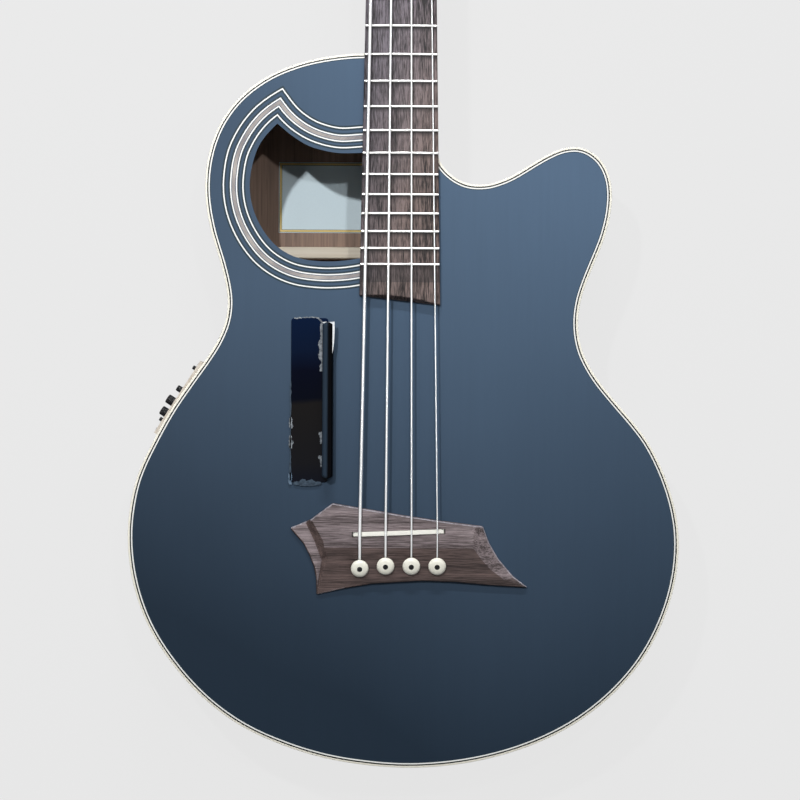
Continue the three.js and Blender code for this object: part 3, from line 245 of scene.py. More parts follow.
def merged(node):
    """A bmesh of a CAD node with its doubled corners merged."""
    shape = bmesh.new()
    shape.from_mesh(frame["nodes"][node].data)
    bmesh.ops.remove_doubles(shape, verts=shape.verts, dist=MM / 100)
    return shape


def turning(points):
    """Twice the area inside a closed run, positive when it turns left."""
    return sum(a.x * b.y - b.x * a.y for a, b in zip(points, points[1:] + points[:1]))


def edge_loops(node, height):
    """The closed edges of a CAD node's flat face at a height, the largest first, all turning left."""
    shape = merged(node)
    edges = {}
    for edge in shape.edges:
        level = [all(abs(v.co.z / MM - height) < 0.01 for v in face.verts) for face in edge.link_faces]
        if level.count(True) == 1:
            edges[edge.index] = edge
    loops = []
    while edges:
        edge = edges.pop(min(edges))
        start, corner = edge.verts
        loop = [start.co.xy / MM]
        while corner is not start:
            loop.append(corner.co.xy / MM)
            edge = next(e for e in corner.link_edges if e.index in edges)
            del edges[edge.index]
            corner = edge.other_vert(corner)
        loops.append(loop if turning(loop) > 0 else loop[::-1])
    shape.free()
    return sorted(loops, key=lambda run: -turning(run))


def smooth_run(points, steps, closed=False):
    """A smooth curve through points."""
    count = len(points)
    ends = (lambda i: i % count) if closed else (lambda i: max(0, min(i, count - 1)))
    run = []
    for i in range(count if closed else count - 1):
        before, start, end, after = (points[ends(i + k)] for k in (-1, 0, 1, 2))
        reach = (end - start).length / 3
        leave = start + (end - before).normalized() * reach
        arrive = end - (after - start).normalized() * reach
        curve = interpolate_bezier(*(p.to_3d() for p in (start, leave, arrive, end)), steps + 1)
        run += [p.to_2d() if len(start) == 2 else p for p in curve[:-1]]
    return run if closed else run + [points[-1].copy()]


def offset_run(points, distance, closed=True):
    """A run moved to its left, its corners mitred."""
    count = len(points)
    moved = []
    for i, point in enumerate(points):
        before = points[i - 1] if closed or i else None
        after = points[(i + 1) % count] if closed or i < count - 1 else None
        into = (point - before).normalized() if before is not None else (after - point).normalized()
        out = (after - point).normalized() if after is not None else into
        left = Vector((-into.y - out.y, into.x + out.x)).normalized()
        moved.append(point + left * distance / max(left.dot(Vector((-into.y, into.x))), 0.5))
    return moved


def moulding(run, profile, closed=True, moved=None):
    """A strip along a run, its profile a ring of insets and heights. Its UV is the way along and round."""
    rings = []
    for inset, height in profile:
        inner = moved(inset) if moved else offset_run(run, inset, closed)
        rings.append([p.to_3d() + Vector((0, 0, height)) for p in inner])
    count, sides = len(run), len(profile)
    points = [ring[i] for i in range(count) for ring in rings]
    way, turn = [0], [0]
    for i in range(count):
        way.append(way[-1] + (run[(i + 1) % count] - run[i]).length * MM)
    for start, end in zip(profile, profile[1:] + profile[:1]):
        turn.append(turn[-1] + math.dist(start, end) * MM)
    faces, uvs = [], []
    for i in range(count if closed else count - 1):
        for k in range(sides):
            along, across = (i + 1) % count, (k + 1) % sides
            faces.append((i * sides + k, i * sides + across, along * sides + across, along * sides + k))
            low, high = turn[k:k + 2]
            uvs.append([(way[i], low), (way[i], high), (way[i + 1], high), (way[i + 1], low)])
    if not closed:
        last = (count - 1) * sides
        faces += [tuple(range(sides)), tuple(range(last, last + sides))]
        uvs += [[(0, 0)] * sides, [(way[-1], 0)] * sides]
    return points, faces, uvs


def add_piece(name, shape, finish, instead_of=(), body="root", place=None, crease=35):
    """Makes a named object of a shape in millimetres, hides the CAD nodes it stands for and hangs it on its
    body.
    """
    points, faces, uvs = shape
    mesh = bpy.data.meshes.new(name)
    mesh.from_pydata([(place @ p if place else p) * MM for p in points], [], faces)
    if uvs:
        layer = mesh.uv_layers.new(name="way")
        for corner, uv in zip(layer.data, (uv for face in uvs for uv in face)):
            corner.uv = uv
    tidy = bmesh.new()
    tidy.from_mesh(mesh)
    bmesh.ops.remove_doubles(tidy, verts=tidy.verts, dist=MM / 500)
    bmesh.ops.dissolve_degenerate(tidy, edges=tidy.edges, dist=MM / 1000)
    bmesh.ops.recalc_face_normals(tidy, faces=tidy.faces)
    tidy.to_mesh(mesh)
    tidy.free()
    return dress(name, mesh, finish, instead_of, body, crease)


def dress(name, mesh, finish, instead_of, body, crease=35):
    """Gives a mesh its finish, object and place in the frame."""
    mesh.materials.clear()
    mesh.materials.append(finish)
    mesh.polygons.foreach_set("use_smooth", [True] * len(mesh.polygons))
    mesh.set_sharp_from_angle(angle=math.radians(crease))
    piece = set_down(name, mesh)
    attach(piece, body)
    if instead_of:
        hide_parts(*instead_of)
    return piece


def settled(piece):
    """The plain mesh that a piece's modifiers make of it. They come off."""
    bpy.context.view_layer.update()
    ready = piece.evaluated_get(bpy.context.evaluated_depsgraph_get())
    mesh = bpy.data.meshes.new_from_object(ready)
    piece.modifiers.clear()
    return mesh


def eased_copy(name, node, finish, radius, body="root", steps=2, spared=None):
    """A CAD node's own shape with its sharp edges rounded, but for those inside a spared box."""
    shape = merged(node)
    bmesh.ops.dissolve_limit(shape, angle_limit=flat_angle, verts=shape.verts, edges=shape.edges)
    weight = shape.edges.layers.float.new("bevel_weight_edge")
    for edge in shape.edges:
        corners = [v.co / MM for v in edge.verts] if spared else []
        inside = spared and all(low < c < high for p in corners for c, low, high in zip(p, *spared))
        edge[weight] = float(edge.calc_face_angle(0) > sharp_angle and not inside)
    mesh = bpy.data.meshes.new(name)
    shape.to_mesh(mesh)
    shape.free()
    piece = dress(name, mesh, finish, (node,), body)
    easing = piece.modifiers.new("eased", "BEVEL")
    easing.width, easing.segments, easing.limit_method = radius * MM, steps, "WEIGHT"
    easing.harden_normals, easing.use_clamp_overlap = True, not spared
    piece.data = settled(piece)
    return piece


def feed(shader, **links):
    """Joins what varies over a surface to the shader."""
    for socket, value in links.items():
        shader.id_data.links.new(value.end, shader.inputs[socket.replace("_", " ")])


def relief(height, strength, depth=0.2):
    """Bumps from a height, their depth in millimetres."""
    inputs = {"Strength": strength, "Distance": depth * MM, "Height": height}
    return height.node("ShaderNodeBump", None, inputs)


def grain(place, dark, light, along=(1, 0.03, 1), fine=260, pores=0.35, bands=9, contrast=1.8):
    """The colour and height of planed wood: broad bands, fine fibres drawn out along it and open pores."""
    broad = (place.mottle(bands, 2, 0.5, along) - 0.5) * 1.6
    fibre = (place.mottle(fine, 4, 0.65, along) - 0.5) * contrast
    long_pores = tuple(s * (0.6 if s < 0.5 else 1) for s in along)
    open_pore = (place.mottle(fine * 2.2, 2, 0.5, long_pores) > 0.62) * pores
    colour = (broad + fibre + 0.5).clamped().tint(dark, light)
    return colour.shaded(open_pore, (1, 1, 1), (0.35, 0.3, 0.28)), fibre - open_pore


def wood(name, dark, light, rough=(0.45, 0.65), uv=False, **grains):
    """A finish of planed wood."""
    material, shader, place = new_finish(name, uv, Specular_IOR_Level=0.3)
    colour, height = grain(place, dark, light, **grains)
    roughness = (height * (rough[1] - rough[0]) + (rough[0] + rough[1]) / 2).clamped()
    feed(shader, Base_Color=colour, Roughness=roughness, Normal=relief(height, 0.35))
    return material


side_wood = wood("side_veneer", (0.016, 0.009, 0.006), (0.120, 0.062, 0.038), uv=True, along=(0.03, 1, 1))
spruce = wood("pale_spruce", (0.68, 0.58, 0.43), (0.96, 0.90, 0.79),
              along=(0.02, 1, 1), fine=180, pores=0.1)
spruce_upright = wood("block_spruce", (0.42, 0.29, 0.15), (0.70, 0.55, 0.36),
                      along=(1, 0.05, 0.05), fine=180, pores=0.1)
edge_low = box_mm("back_binding")[1].z
edge_high = box_mm("top_binding")[0].z
top_z = box_mm("top_binding")[1].z
body_edge = smooth_run(edge_loops("top_binding", top_z)[0], run_steps, closed=True)


def half_side(name, node, sign):
    """One bent side: the part of the body's edge on one side of the middle."""
    profile = [(0, edge_low), (side_thickness, edge_low), (side_thickness, edge_high), (0, edge_high)]
    side = add_piece(name, moulding(body_edge, profile), side_wood, (node,))
    shape = bmesh.new()
    shape.from_mesh(side.data)
    bmesh.ops.bisect_plane(shape, geom=shape.verts[:] + shape.edges[:] + shape.faces[:],
                           plane_co=(sign * seam * MM, 0, 0), plane_no=(-sign, 0, 0), clear_outer=True)
    bmesh.ops.holes_fill(shape, edges=[e for e in shape.edges if e.is_boundary])
    shape.to_mesh(side.data)
    shape.free()
    return side


def new_tree(name, start, sizes, counts=()):
    """Empty geometry nodes with named inputs, and those inputs as sockets."""
    tree = bpy.data.node_groups.new(name, "GeometryNodeTree")
    kinds = {start: "Geometry", **dict.fromkeys(counts, "Int"), **dict.fromkeys(sizes, "Float")}
    for label, kind in {**kinds, "Finish": "Material"}.items():
        tree.interface.new_socket(label, in_out="INPUT", socket_type="NodeSocket" + kind)
    tree.interface.new_socket("Piece", in_out="OUTPUT", socket_type="NodeSocketGeometry")
    entry = tree.nodes.new("NodeGroupInput")
    return tree, {end.name: Socket(end) for end in entry.outputs if end.name}


def end_tree(tree, shape, finish):
    """Gives the grown shape its material and leads it out."""
    done = shape.node("GeometryNodeSetMaterial", None, {"Geometry": shape, "Material": finish})
    tree.links.new(done.end, tree.nodes.new("NodeGroupOutput").inputs[0])
    return tree


def kerf_tree():
    """Geometry nodes that set a row of small blocks along a run of edges, as kerfed lining has."""
    tree, ins = new_tree("kerfed_lining", "Run", ("Pitch", "Block Length", "Block Width", "Block Height"))
    run = ins["Run"]
    curve = run.node("GeometryNodeMeshToCurve", None, {"Mesh": run})
    inputs = {"Curve": curve, "Length": ins["Pitch"]}
    spaced = curve.node("GeometryNodeResampleCurve", {"mode": "LENGTH"}, inputs)
    sizes = {"X": ins["Block Length"], "Y": ins["Block Width"], "Z": ins["Block Height"]}
    block = run.node("GeometryNodeMeshCube", None, {"Size": run.node("ShaderNodeCombineXYZ", None, sizes)})
    heading = run.node("GeometryNodeInputTangent")
    turning_flat = {"axis": "X", "pivot_axis": "Z"}
    turn = heading.node("FunctionNodeAlignRotationToVector", turning_flat, {"Vector": heading})
    inputs = {"Points": spaced, "Instance": block, "Rotation": turn}
    rows = spaced.node("GeometryNodeInstanceOnPoints", None, inputs)
    real = rows.node("GeometryNodeRealizeInstances", None, {"Geometry": rows})
    return end_tree(tree, real, ins["Finish"])


def grown(name, start, tree, values, finish, instead_of=(), body="root"):
    """The plain mesh that a node tree makes of a start mesh, as a named piece."""
    seed = set_down(name + "_seed", start)
    growth = seed.modifiers.new("growth", "NODES")
    growth.node_group = tree
    for item in tree.interface.items_tree:
        if item.in_out == "INPUT" and item.name in values:
            growth[item.identifier] = values[item.name]
    mesh = settled(seed)
    mesh.name = name
    bpy.data.objects.remove(seed)
    return dress(name, mesh, finish, instead_of, body)


def kerfed_lining(name, node):
    """A thin strip with a row of blocks on it, sawn nearly through so that it bends."""
    low, high = (end.z for end in box_mm(node))
    outer = side_thickness + lining_gap
    inner = outer + lining_skin
    strip = [(outer, low), (inner, low), (inner, high), (outer, high)]
    add_piece(name + "_strip", moulding(body_edge, strip), spruce, (node,))
    width = lining_width - lining_skin
    line = offset_run(body_edge, inner + width / 2)
    start = bpy.data.meshes.new(name)
    height = (low + high) / 2
    count = len(line)
    start.from_pydata([(p.x * MM, p.y * MM, height * MM) for p in line],
                      [(i, (i + 1) % count) for i in range(count)], [])
    sizes = {"Pitch": kerf_pitch * MM, "Block Length": (kerf_pitch - kerf_gap) * MM,
             "Block Width": width * MM, "Block Height": (high - low - kerf_short) * MM, "Finish": spruce}
    grown(name + "_blocks", start, kerf_rows, sizes, spruce, (node,))


bass_wall = half_side("bent_bass_side", "bass_side", -1)
treble_wall = half_side("bent_treble_side", "treble_side", 1)
kerf_rows = kerf_tree()
kerfed_lining("top_kerfing", "top_lining")
kerfed_lining("back_kerfing", "back_lining")
for end in ("neck", "tail"):
    eased_copy(f"{end}_end_block", f"{end}_block", spruce_upright, block_round)


# Back: a flat plate of dark veneer whose inside shows through the soundhole, crossed by three
# spruce braces with sawn, tapered ends, and a paper label glued beside the upper one.
paper_blue = (0.78, 0.93, 1.00)
gold_ink = (0.92, 0.72, 0.30)
dark_ink = (0.10, 0.075, 0.04)
border_inset = 0.5
border_width = 2.3
ink_width = 0.4
paper_round = 0.05
back_brace_round = 1.6
back_wood = wood("back_wood", (0.105, 0.064, 0.047), (0.42, 0.285, 0.215), fine=240, contrast=1.5)


def slab(loops, profile):
    """A flat board from an outer run and any holes, its edge given by insets and heights from below."""
    loops = [loops[0]] + [hole[::-1] for hole in loops[1:]]
    points, faces, caps = [], [], []
    for inset, height in profile:
        caps.append(len(points))
        for loop in loops:
            points += [p.to_3d() + Vector((0, 0, height)) for p in offset_run(loop, inset)]
    layer = sum(map(len, loops))
    for cap in caps[:-1]:
        start = cap
        for loop in loops:
            for i in range(len(loop)):
                low, near = start + i, start + (i + 1) % len(loop)
                faces.append((low, near, near + layer, low + layer))
            start += len(loop)
    for cap in (caps[0], caps[-1]):
        flat, start = [], cap
        for loop in loops:
            flat.append([p.xy.to_3d() for p in points[start:start + len(loop)]])
            start += len(loop)
        faces += [tuple(cap + corner for corner in face) for face in tessellate_polygon(flat)]
    return points, faces, None


def label_finish():
    """Pale paper with a plain gold border and a thin dark line inside it."""
    material, shader, place = new_finish("label_paper", Roughness=0.8, Specular_IOR_Level=0.2)
    low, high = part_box("label")
    middle, half = (low + high) / 2, (high - low) / 2
    across, along = place.part("X") - middle.x, place.part("Y") - middle.y
    rim_x, rim_y = (half[k] - way.math("ABSOLUTE", way) for k, way in enumerate((across, along)))
    rim = rim_x.math("MINIMUM", rim_x, rim_y) / MM
    end = border_inset + border_width
    inked = (rim > border_inset) * (1 - (rim > end))
    gold = (rim > border_inset + ink_width) * (1 - (rim > end - ink_width))
    fibre = place.mottle(900, 3)
    colour = inked.tint(fibre.tint(tuple(c * 0.94 for c in paper_blue), paper_blue), dark_ink)
    feed(shader, Base_Color=gold.tint(colour, gold_ink), Normal=relief(fibre, 0.1))
    return material


back_low, back_high = box_mm("back_plate")
back_loop = smooth_run(edge_loops("back_plate", back_high.z)[0], run_steps, closed=True)
add_piece("back_board", slab([back_loop], [(0, back_low.z), (0, back_high.z)]), back_wood,
          ("back_plate",))
for number in (1, 2, 3):
    eased_copy(f"back_bar_{number}", f"back_brace_{number}", spruce, back_brace_round, steps=3)
eased_copy("paper_label", "label", label_finish(), paper_round)


# Soundboard: spruce under a matte slate-blue lacquer, with painted light and shade on it that darken it
# towards the tail, and an X-brace and an upper brace glued below it. Its soundhole is round, cut to a point
# by a scoop, its edge painted too.
top_brace_round = 1.2
# Painted light and shade on the lacquer: lit towards the neck and the treble side, shaded towards the tail.
lit_paint = (0.079, 0.131, 0.207)
shaded_paint = (0.009, 0.020, 0.036)
lit_paint_y = 0.36
shaded_paint_y = -0.16
light_lean_to_treble = 0.50
treble_shade_x = 0.07
treble_shade_y = 0.26
treble_shade_depth = 0.7
bass_shade_x = 0.05
bass_shade_y = 0.20
bass_shade_depth = 0.9
shade_blend = 0.14
hole_round = 0.7
hole_shoulder = (0.2, 0.25)


def lacquer():
    """Flat blue paint with a faint grain and painted light and shade: lighter towards the neck and the
    treble side, darker towards the tail, with painted shade low on the treble side and high on the bass
    side.
    """
    material, shader, place = new_finish("slate_lacquer", Specular_IOR_Level=0.15)
    x, y = place.part("X"), place.part("Y")
    # Painted shade low on the treble side and high on the bass side, under painted light that grows towards
    # the neck and the treble side.
    low, high = ((treble_shade_y - y) / shade_blend).clamped(), ((y - bass_shade_y) / shade_blend).clamped()
    treble_shade = (x - treble_shade_x).clamped() * low * treble_shade_depth
    bass_shade = (bass_shade_x - x).clamped() * high * bass_shade_depth
    reach = y + x * light_lean_to_treble - treble_shade - bass_shade
    cloud = place.mottle(7, 2)
    fibre = place.mottle(300, 3, 0.6, (1, 0.05, 1))
    speck = place.mottle(2600, 2)
    lit_share = (reach - shaded_paint_y) / (lit_paint_y - shaded_paint_y) + (cloud - 0.5) * 0.12
    colour = lit_share.clamped().tint(shaded_paint, lit_paint)
    colour = colour.shaded(fibre * 0.5 + speck * 0.5, (0.9, 0.9, 0.9), (1.1, 1.1, 1.1))
    feed(shader, Base_Color=colour, Roughness=cloud * 0.08 + 0.55, Normal=relief(speck + fibre * 0.5, 0.08))
    return material


def pointed_hole(loop, right):
    """The soundhole's edge from the foot of its straight side, smooth but for its corners and its point."""
    first = max((i for i, p in enumerate(loop) if p.x > right - 0.01), key=lambda i: -loop[i].y)
    opened = (loop[first:] + loop[:first])[::-1]
    opened = opened[-1:] + opened[:-1]
    point = max(range(len(opened)), key=lambda i: opened[i].y)
    return smooth_run(opened[:point + 1], run_steps) + smooth_run(opened[point:], run_steps)[1:]


eased_copy("x_bracing", "x_brace", spruce, top_brace_round)
eased_copy("upper_bar", "upper_brace", spruce, top_brace_round)
board_low = box_mm("soundboard")[0]
board_loops = edge_loops("soundboard", board_low.z)
board_edge = smooth_run(board_loops[0], run_steps, closed=True)
hole_x = max(p.x for p in board_loops[1])
hole_run = pointed_hole(board_loops[1], hole_x)
pin_holes = [smooth_run(loop, run_steps, closed=True) for loop in board_loops[2:]]
shoulder_in, shoulder_down = hole_shoulder
hole_profile = [(0, board_low.z), (0, top_z - hole_round), (shoulder_in, top_z - shoulder_down),
                (hole_round, top_z)]
painted_board = slab([board_edge, hole_run, *pin_holes], hole_profile)
add_piece("painted_soundboard", painted_board, lacquer(), ("soundboard",), crease=20)


# Rosette: a strip of figured wood between thin white lines, inlaid round the soundhole, with strips of
# painted shade beside the white lines away from the wood. The lines meet in sharp mitres over the point
# of the hole and all end under the fingerboard.
line_width = 1.0
white_line_places = (4.6, 9.8, 14.6, 20.4)
# Width of the strips of painted shade beside the white lines.
shade_strip_width = 1.4
rosette_band = (10.8, 13.6)
hatch_slant = 1.1
inlay_proud = 0.04
inlay_depth = 1.2
rising_steps = 150
falling_steps = 60
arm_steps = 8
rosette_round_shares = [
    (0.000, 0.031), (0.200, 0.004), (0.399, 0.000), (0.604, 0.029), (0.777, 0.114), (0.909, 0.257),
    (0.985, 0.421), (1.000, 0.594), (0.950, 0.790), (0.785, 0.985), (0.455, 1.160),
]
rosette_scoop_shares = [
    (0.920, 1.165), (0.760, 0.990), (0.610, 0.885), (0.445, 0.818), (0.242, 0.781), (0.000, 0.791),
]
white_plastic = (0.90, 0.91, 0.89)


def plastic(name, colour, rough=(0.35, 0.5), fine=500, bump=0.06, **fixed):
    """Moulded or scraped plastic with a faint cloudiness."""
    material, shader, place = new_finish(name, **fixed)
    cloud = place.mottle(fine, 3)
    dull, clear = (tuple(min(c * share, 1) for c in colour) for share in (0.9, 1.08))
    roughness = cloud * (rough[1] - rough[0]) + rough[0]
    feed(shader, Base_Color=cloud.tint(dull, clear), Roughness=roughness, Normal=relief(cloud, bump))
    return material


def hole_place(across, up):
    """A place from shares of the soundhole's width and length, from its straight side and its foot."""
    left, low, high = min(p.x for p in hole_run), min(p.y for p in hole_run), max(p.y for p in hole_run)
    return Vector((hole_x + (left - hole_x) * across, low + (high - low) * up))


def evenly(run, steps):
    """A run with the same ends and a number of even steps."""
    way = [0]
    for start, end in zip(run, run[1:]):
        way.append(way[-1] + (end - start).length)
    spots, k = [], 0
    for step in range(steps):
        reach = way[-1] * step / steps
        while way[k + 1] < reach:
            k += 1
        spots.append(run[k].lerp(run[k + 1], (reach - way[k]) / (way[k + 1] - way[k])))
    return spots + [run[-1]]


def mitred_run(distance):
    """A line of the rosette: its two arms moved outwards and trimmed where they cross."""
    rising = offset_run(rosette_round, distance, closed=False)
    falling = offset_run(rosette_scoop, distance, closed=False)
    for i in range(1, len(rising)):
        for j in range(1, len(falling)):
            corner = intersect_line_line_2d(rising[i - 1], rising[i], falling[j - 1], falling[j])
            if corner:
                left = evenly(rising[:i] + [corner], rising_steps)
                return left[:-1] + evenly([corner] + falling[j:], falling_steps)


def inlay(name, start, end, finish, slot, instead_of=()):
    """A flat strip let into the top between two distances from the hole."""
    high = top_z + inlay_proud
    profile = [(start, top_z - inlay_depth), (end, top_z - inlay_depth), (end, high), (start, high)]
    strip = moulding(mitred_run((start + end) / 2), profile, False, mitred_run)
    return add_piece(name, strip, finish, instead_of)


def figured_finish():
    """Figured wood laid in short lengths: pale and dark patches under a fine slanting hatch."""
    material, shader, way = new_finish("figured_strip", uv=True, Specular_IOR_Level=0.3)
    slant = way.part("X") + way.part("Y") * hatch_slant
    hatch = slant.node("ShaderNodeCombineXYZ", None, {"X": slant}).mottle(900, 3, 0.7)
    patch = way.mottle(34, 2, 0.5, (1, 0, 0))
    tone = ((patch - 0.5) * 2.6 + (hatch - 0.5) * 2.2 + 0.5).clamped()
    colour = tone.tint((0.173, 0.160, 0.175), (0.48, 0.437, 0.397))
    colour = colour.shaded(hatch > 0.60, (1, 1, 1), (0.55, 0.52, 0.5))
    feed(shader, Base_Color=colour, Roughness=hatch * 0.2 + 0.4, Normal=relief(hatch, 0.2))
    return material


rosette_round = smooth_run([hole_place(*share) for share in rosette_round_shares], arm_steps)
rosette_scoop = smooth_run([hole_place(*share) for share in rosette_scoop_shares], arm_steps)
line_white = plastic("line_white", white_plastic)
# Painted shade: dark strips beside the rosette's white lines and inside the binding's white line.
painted_shade_strip = plastic("painted_shade_strip", (0.024, 0.044, 0.060), Specular_IOR_Level=0.1)
inlay("rosette_strip", *rosette_band, figured_finish(), "rosette_wood", ("rosette",))
for number, middle in enumerate(white_line_places, 1):
    start, end = middle - line_width / 2, middle + line_width / 2
    inlay(f"rosette_line_{number}", start, end, line_white, "binding")
    shades = (("in", start - shade_strip_width, start), ("out", end, end + shade_strip_width))
    for side, low, high in shades:
        if high < rosette_band[0] or low > rosette_band[1]:
            inlay(f"rosette_shade_{number}_{side}", low, high, painted_shade_strip, "binding")


# Binding: a cream plastic strip glued in a rebate round each edge of the body, with a dark and a white line
# inside it on the top and a strip of painted shade inside those, scraped flush and slightly rounded
# outside.
cream_width = 1.7
dark_line_end = 2.8
white_line_end = 3.8
shade_line_end = 4.4
edge_round = 0.7
edge_shoulder = (0.2, 0.3)
cream = (0.90, 0.87, 0.76)
cream_strip = plastic("cream_binding", cream, (0.3, 0.45))
dark_strip = plastic("dark_line", (0.010, 0.012, 0.010), (0.4, 0.5), Specular_IOR_Level=0.2)


def bound_edge(name, low, high, up, node):
    """Cream, dark and white strips side by side, then a strip of painted shade, the show face on the side
    named by up.
    """
    show, foot = (high, low) if up else (low, high)
    step = edge_round if up else -edge_round
    shoulder, share = edge_shoulder
    cream_profile = [(0, foot), (0, show - step), (shoulder, show - share * step), (edge_round, show),
                     (cream_width, show), (cream_width, foot)]
    add_piece(name + "_cream", moulding(body_edge, cream_profile), cream_strip, (node,))
    face = show + (inlay_proud if up else -inlay_proud)
    lines = (("dark", cream_width, dark_line_end, dark_strip),
             ("white", dark_line_end, white_line_end, line_white),
             ("shade", white_line_end, shade_line_end, painted_shade_strip))
    for label, start, end, finish in lines:
        profile = [(start, foot), (end, foot), (end, face), (start, face)]
        add_piece(f"{name}_{label}", moulding(body_edge, profile), finish, (node,))


bound_edge("top_edge", edge_high, top_z, True, "top_binding")
bound_edge("back_edge", 0, edge_low, False, "back_binding")


# Neck: one length of dark-stained wood with a heel at the body and a headstock that leans back. It is
# screwed and glued to the end of the body. A dark veneer covers the face of the headstock.
string_length = 864
nut_width = 42.7
twelfth_fret_width = 57.1
board_widening = (twelfth_fret_width - nut_width) / (string_length / 2)
neck_depth_at_nut = 21
neck_depth_at_heel = 24
heel_length = 66
heel_depth = 80
heel_pinch = 0.93
heel_rings = 12
shaft_ring_shares = (0.3, 0.6, 0.9, 1)
nut_squareness = 0.8
neck_arc_steps = 30
head_angle = math.radians(-14)
head_width = 88
head_length = 190
head_thickness = 16
head_veneer = 1.6
head_round = 1.4
head_blend = 20
head_blend_squareness = 0.35
head_blend_gap = 0.5
head_blend_skin = 0.3
head_sink = 2.2
head_outline_steps = 8
veneer_round = 0.5
head_outline_shares = [
    (0.24, 0.00), (0.30, 0.05), (0.45, 0.15), (0.50, 0.25), (0.49, 0.45), (0.46, 0.70),
    (0.45, 0.88), (0.38, 0.965), (0.22, 0.985), (0.00, 1.00),
]
nut_high = box_mm("nut")[1]
head_place = Matrix.Translation((0, nut_high.y, top_z)) @ Matrix.Rotation(head_angle, 4, "X")
neck_wood = wood("neck_wood", (0.030, 0.014, 0.008), (0.115, 0.056, 0.032), (0.3, 0.42), fine=220)
head_wood = wood("head_veneer", (0.014, 0.010, 0.009), (0.085, 0.062, 0.054), (0.3, 0.42), fine=420)


def board_half_width(y):
    """Half the fingerboard's width, which grows from the nut to the body."""
    return (nut_width + board_widening * (string_length - y)) / 2


def neck_ring(y, half, depth, squareness, place=None):
    """The rounded back of the neck at one place, from the treble edge to the bass edge."""
    ring = []
    for i in range(neck_arc_steps + 1):
        turn = math.pi * i / neck_arc_steps
        across, down = math.cos(turn), abs(math.sin(turn)) ** squareness
        x = half * math.copysign(abs(across) ** squareness, across)
        point = Vector((x, y, -depth * down))
        ring.append(place @ point if place else point + Vector((0, 0, top_z)))
    return ring


def loft(rings, capped=True):
    """A skin over rings with the same count of points, closed by a cap at each end."""
    count = len(rings[0])
    last = (len(rings) - 1) * count
    faces = []
    for start in range(0, last, count):
        for i in range(count):
            low, near = start + i, start + (i + 1) % count
            faces.append((low, near, near + count, low + count))
    if capped:
        faces += [tuple(range(count)), tuple(range(last, last + count))]
    return [p for ring in rings for p in ring], faces, None


def neck_shaft():
    """The neck from its heel, through the nut, to where it sinks into the headstock."""
    heel_y = box_mm("neck")[0].y
    heel_top = heel_y + heel_length
    rings = []
    for i in range(heel_rings + 1):
        share = i / heel_rings
        y = heel_y + share * heel_length
        depth = neck_depth_at_heel + (heel_depth - neck_depth_at_heel) * (1 - share) ** 2
        rings.append(neck_ring(y, board_half_width(y), depth, 1 + (1 - share) * heel_pinch))
    for share in shaft_ring_shares:
        y = heel_top + share * (string_length - heel_top)
        depth = neck_depth_at_heel + share * (neck_depth_at_nut - neck_depth_at_heel)
        rings.append(neck_ring(y, board_half_width(y), depth, 1))
    nut_depth = (neck_depth_at_nut + head_thickness) / 2
    rings.append(neck_ring(nut_high.y, nut_width / 2, nut_depth, nut_squareness))
    sunk = head_place @ Matrix.Translation((0, 0, -head_sink))
    half, depth = nut_width / 2 - head_blend_gap, head_thickness - head_sink - head_blend_skin
    rings.append(neck_ring(head_blend, half, depth, head_blend_squareness, sunk))
    columns = [smooth_run(column, run_steps) for column in zip(*rings)]
    return loft(list(zip(*columns)))


def head_run():
    """The headstock's outline, the same on both sides of the middle."""
    right = [Vector((across * head_width, up * head_length)) for across, up in head_outline_shares]
    right = smooth_run(right, head_outline_steps)
    return right + [Vector((-p.x, p.y)) for p in right[-2::-1]]


add_piece("neck_shaft", neck_shaft(), neck_wood, ("neck",), crease=50)
head_rise = head_round * 0.3
head_edge = [(head_round, -head_thickness), (head_rise, -head_thickness + head_rise),
             (0, -head_thickness + head_round), (0, -head_veneer)]
veneer_edge = [(0, -head_veneer), (0, -veneer_round), (veneer_round, 0)]
add_piece("head_board", slab([head_run()], head_edge), neck_wood, ("neck",), place=head_place)
add_piece("head_face", slab([head_run()], veneer_edge), head_wood, ("neck",), place=head_place)


# Fingerboard: a cambered board of dark wenge, its long edges rounded by hand and its end cut aslant.
# The frets are nickel-silver wire, hammered into sawn slots and filed round at their ends.
board_thickness = 6.5
camber_radius = 508
board_edge_round = 1.3
board_end_y = 191
board_end_drop = 7.6
board_end_shares = [(-1, 0), (-0.3, 0), (0.34, -0.34), (1, -1)]
board_columns = 26
board_ring_shares = (0, 0.25, 0.5, 0.75)
board_straight_end = 20
fret_count = 24
fret_height = 1.2
fret_wire_radius = 0.95
fret_inset = 0.5
fret_steps = 49
fret_sides = 16
fret_end_power = 60
fret_end_slim = 0.55
board_top_z = top_z + board_thickness
board_end_rings = ((0, 1.2), (0.15, 0.4), (0.5, 0.1), (1.2, 0))
streak_dark = (0.010, 0.0075, 0.008)
streak_light = (0.225, 0.185, 0.175)
# Painted reflection on the board: grey up the neck, brown towards the body.
grey_sky_reflection = (0.80, 0.86, 1.06)
brown_below_reflection = (0.83, 0.77, 0.76)
reflection_start_y = 0.24
reflection_end_y = 0.42
reflection_lean = 14
bare_band = (0.2015, 0.2135)
last_fret_y = 0.2099
# The painted shadow below each fret reaches this far.
fret_shadow_reach = 0.0038
board_half = 0.03


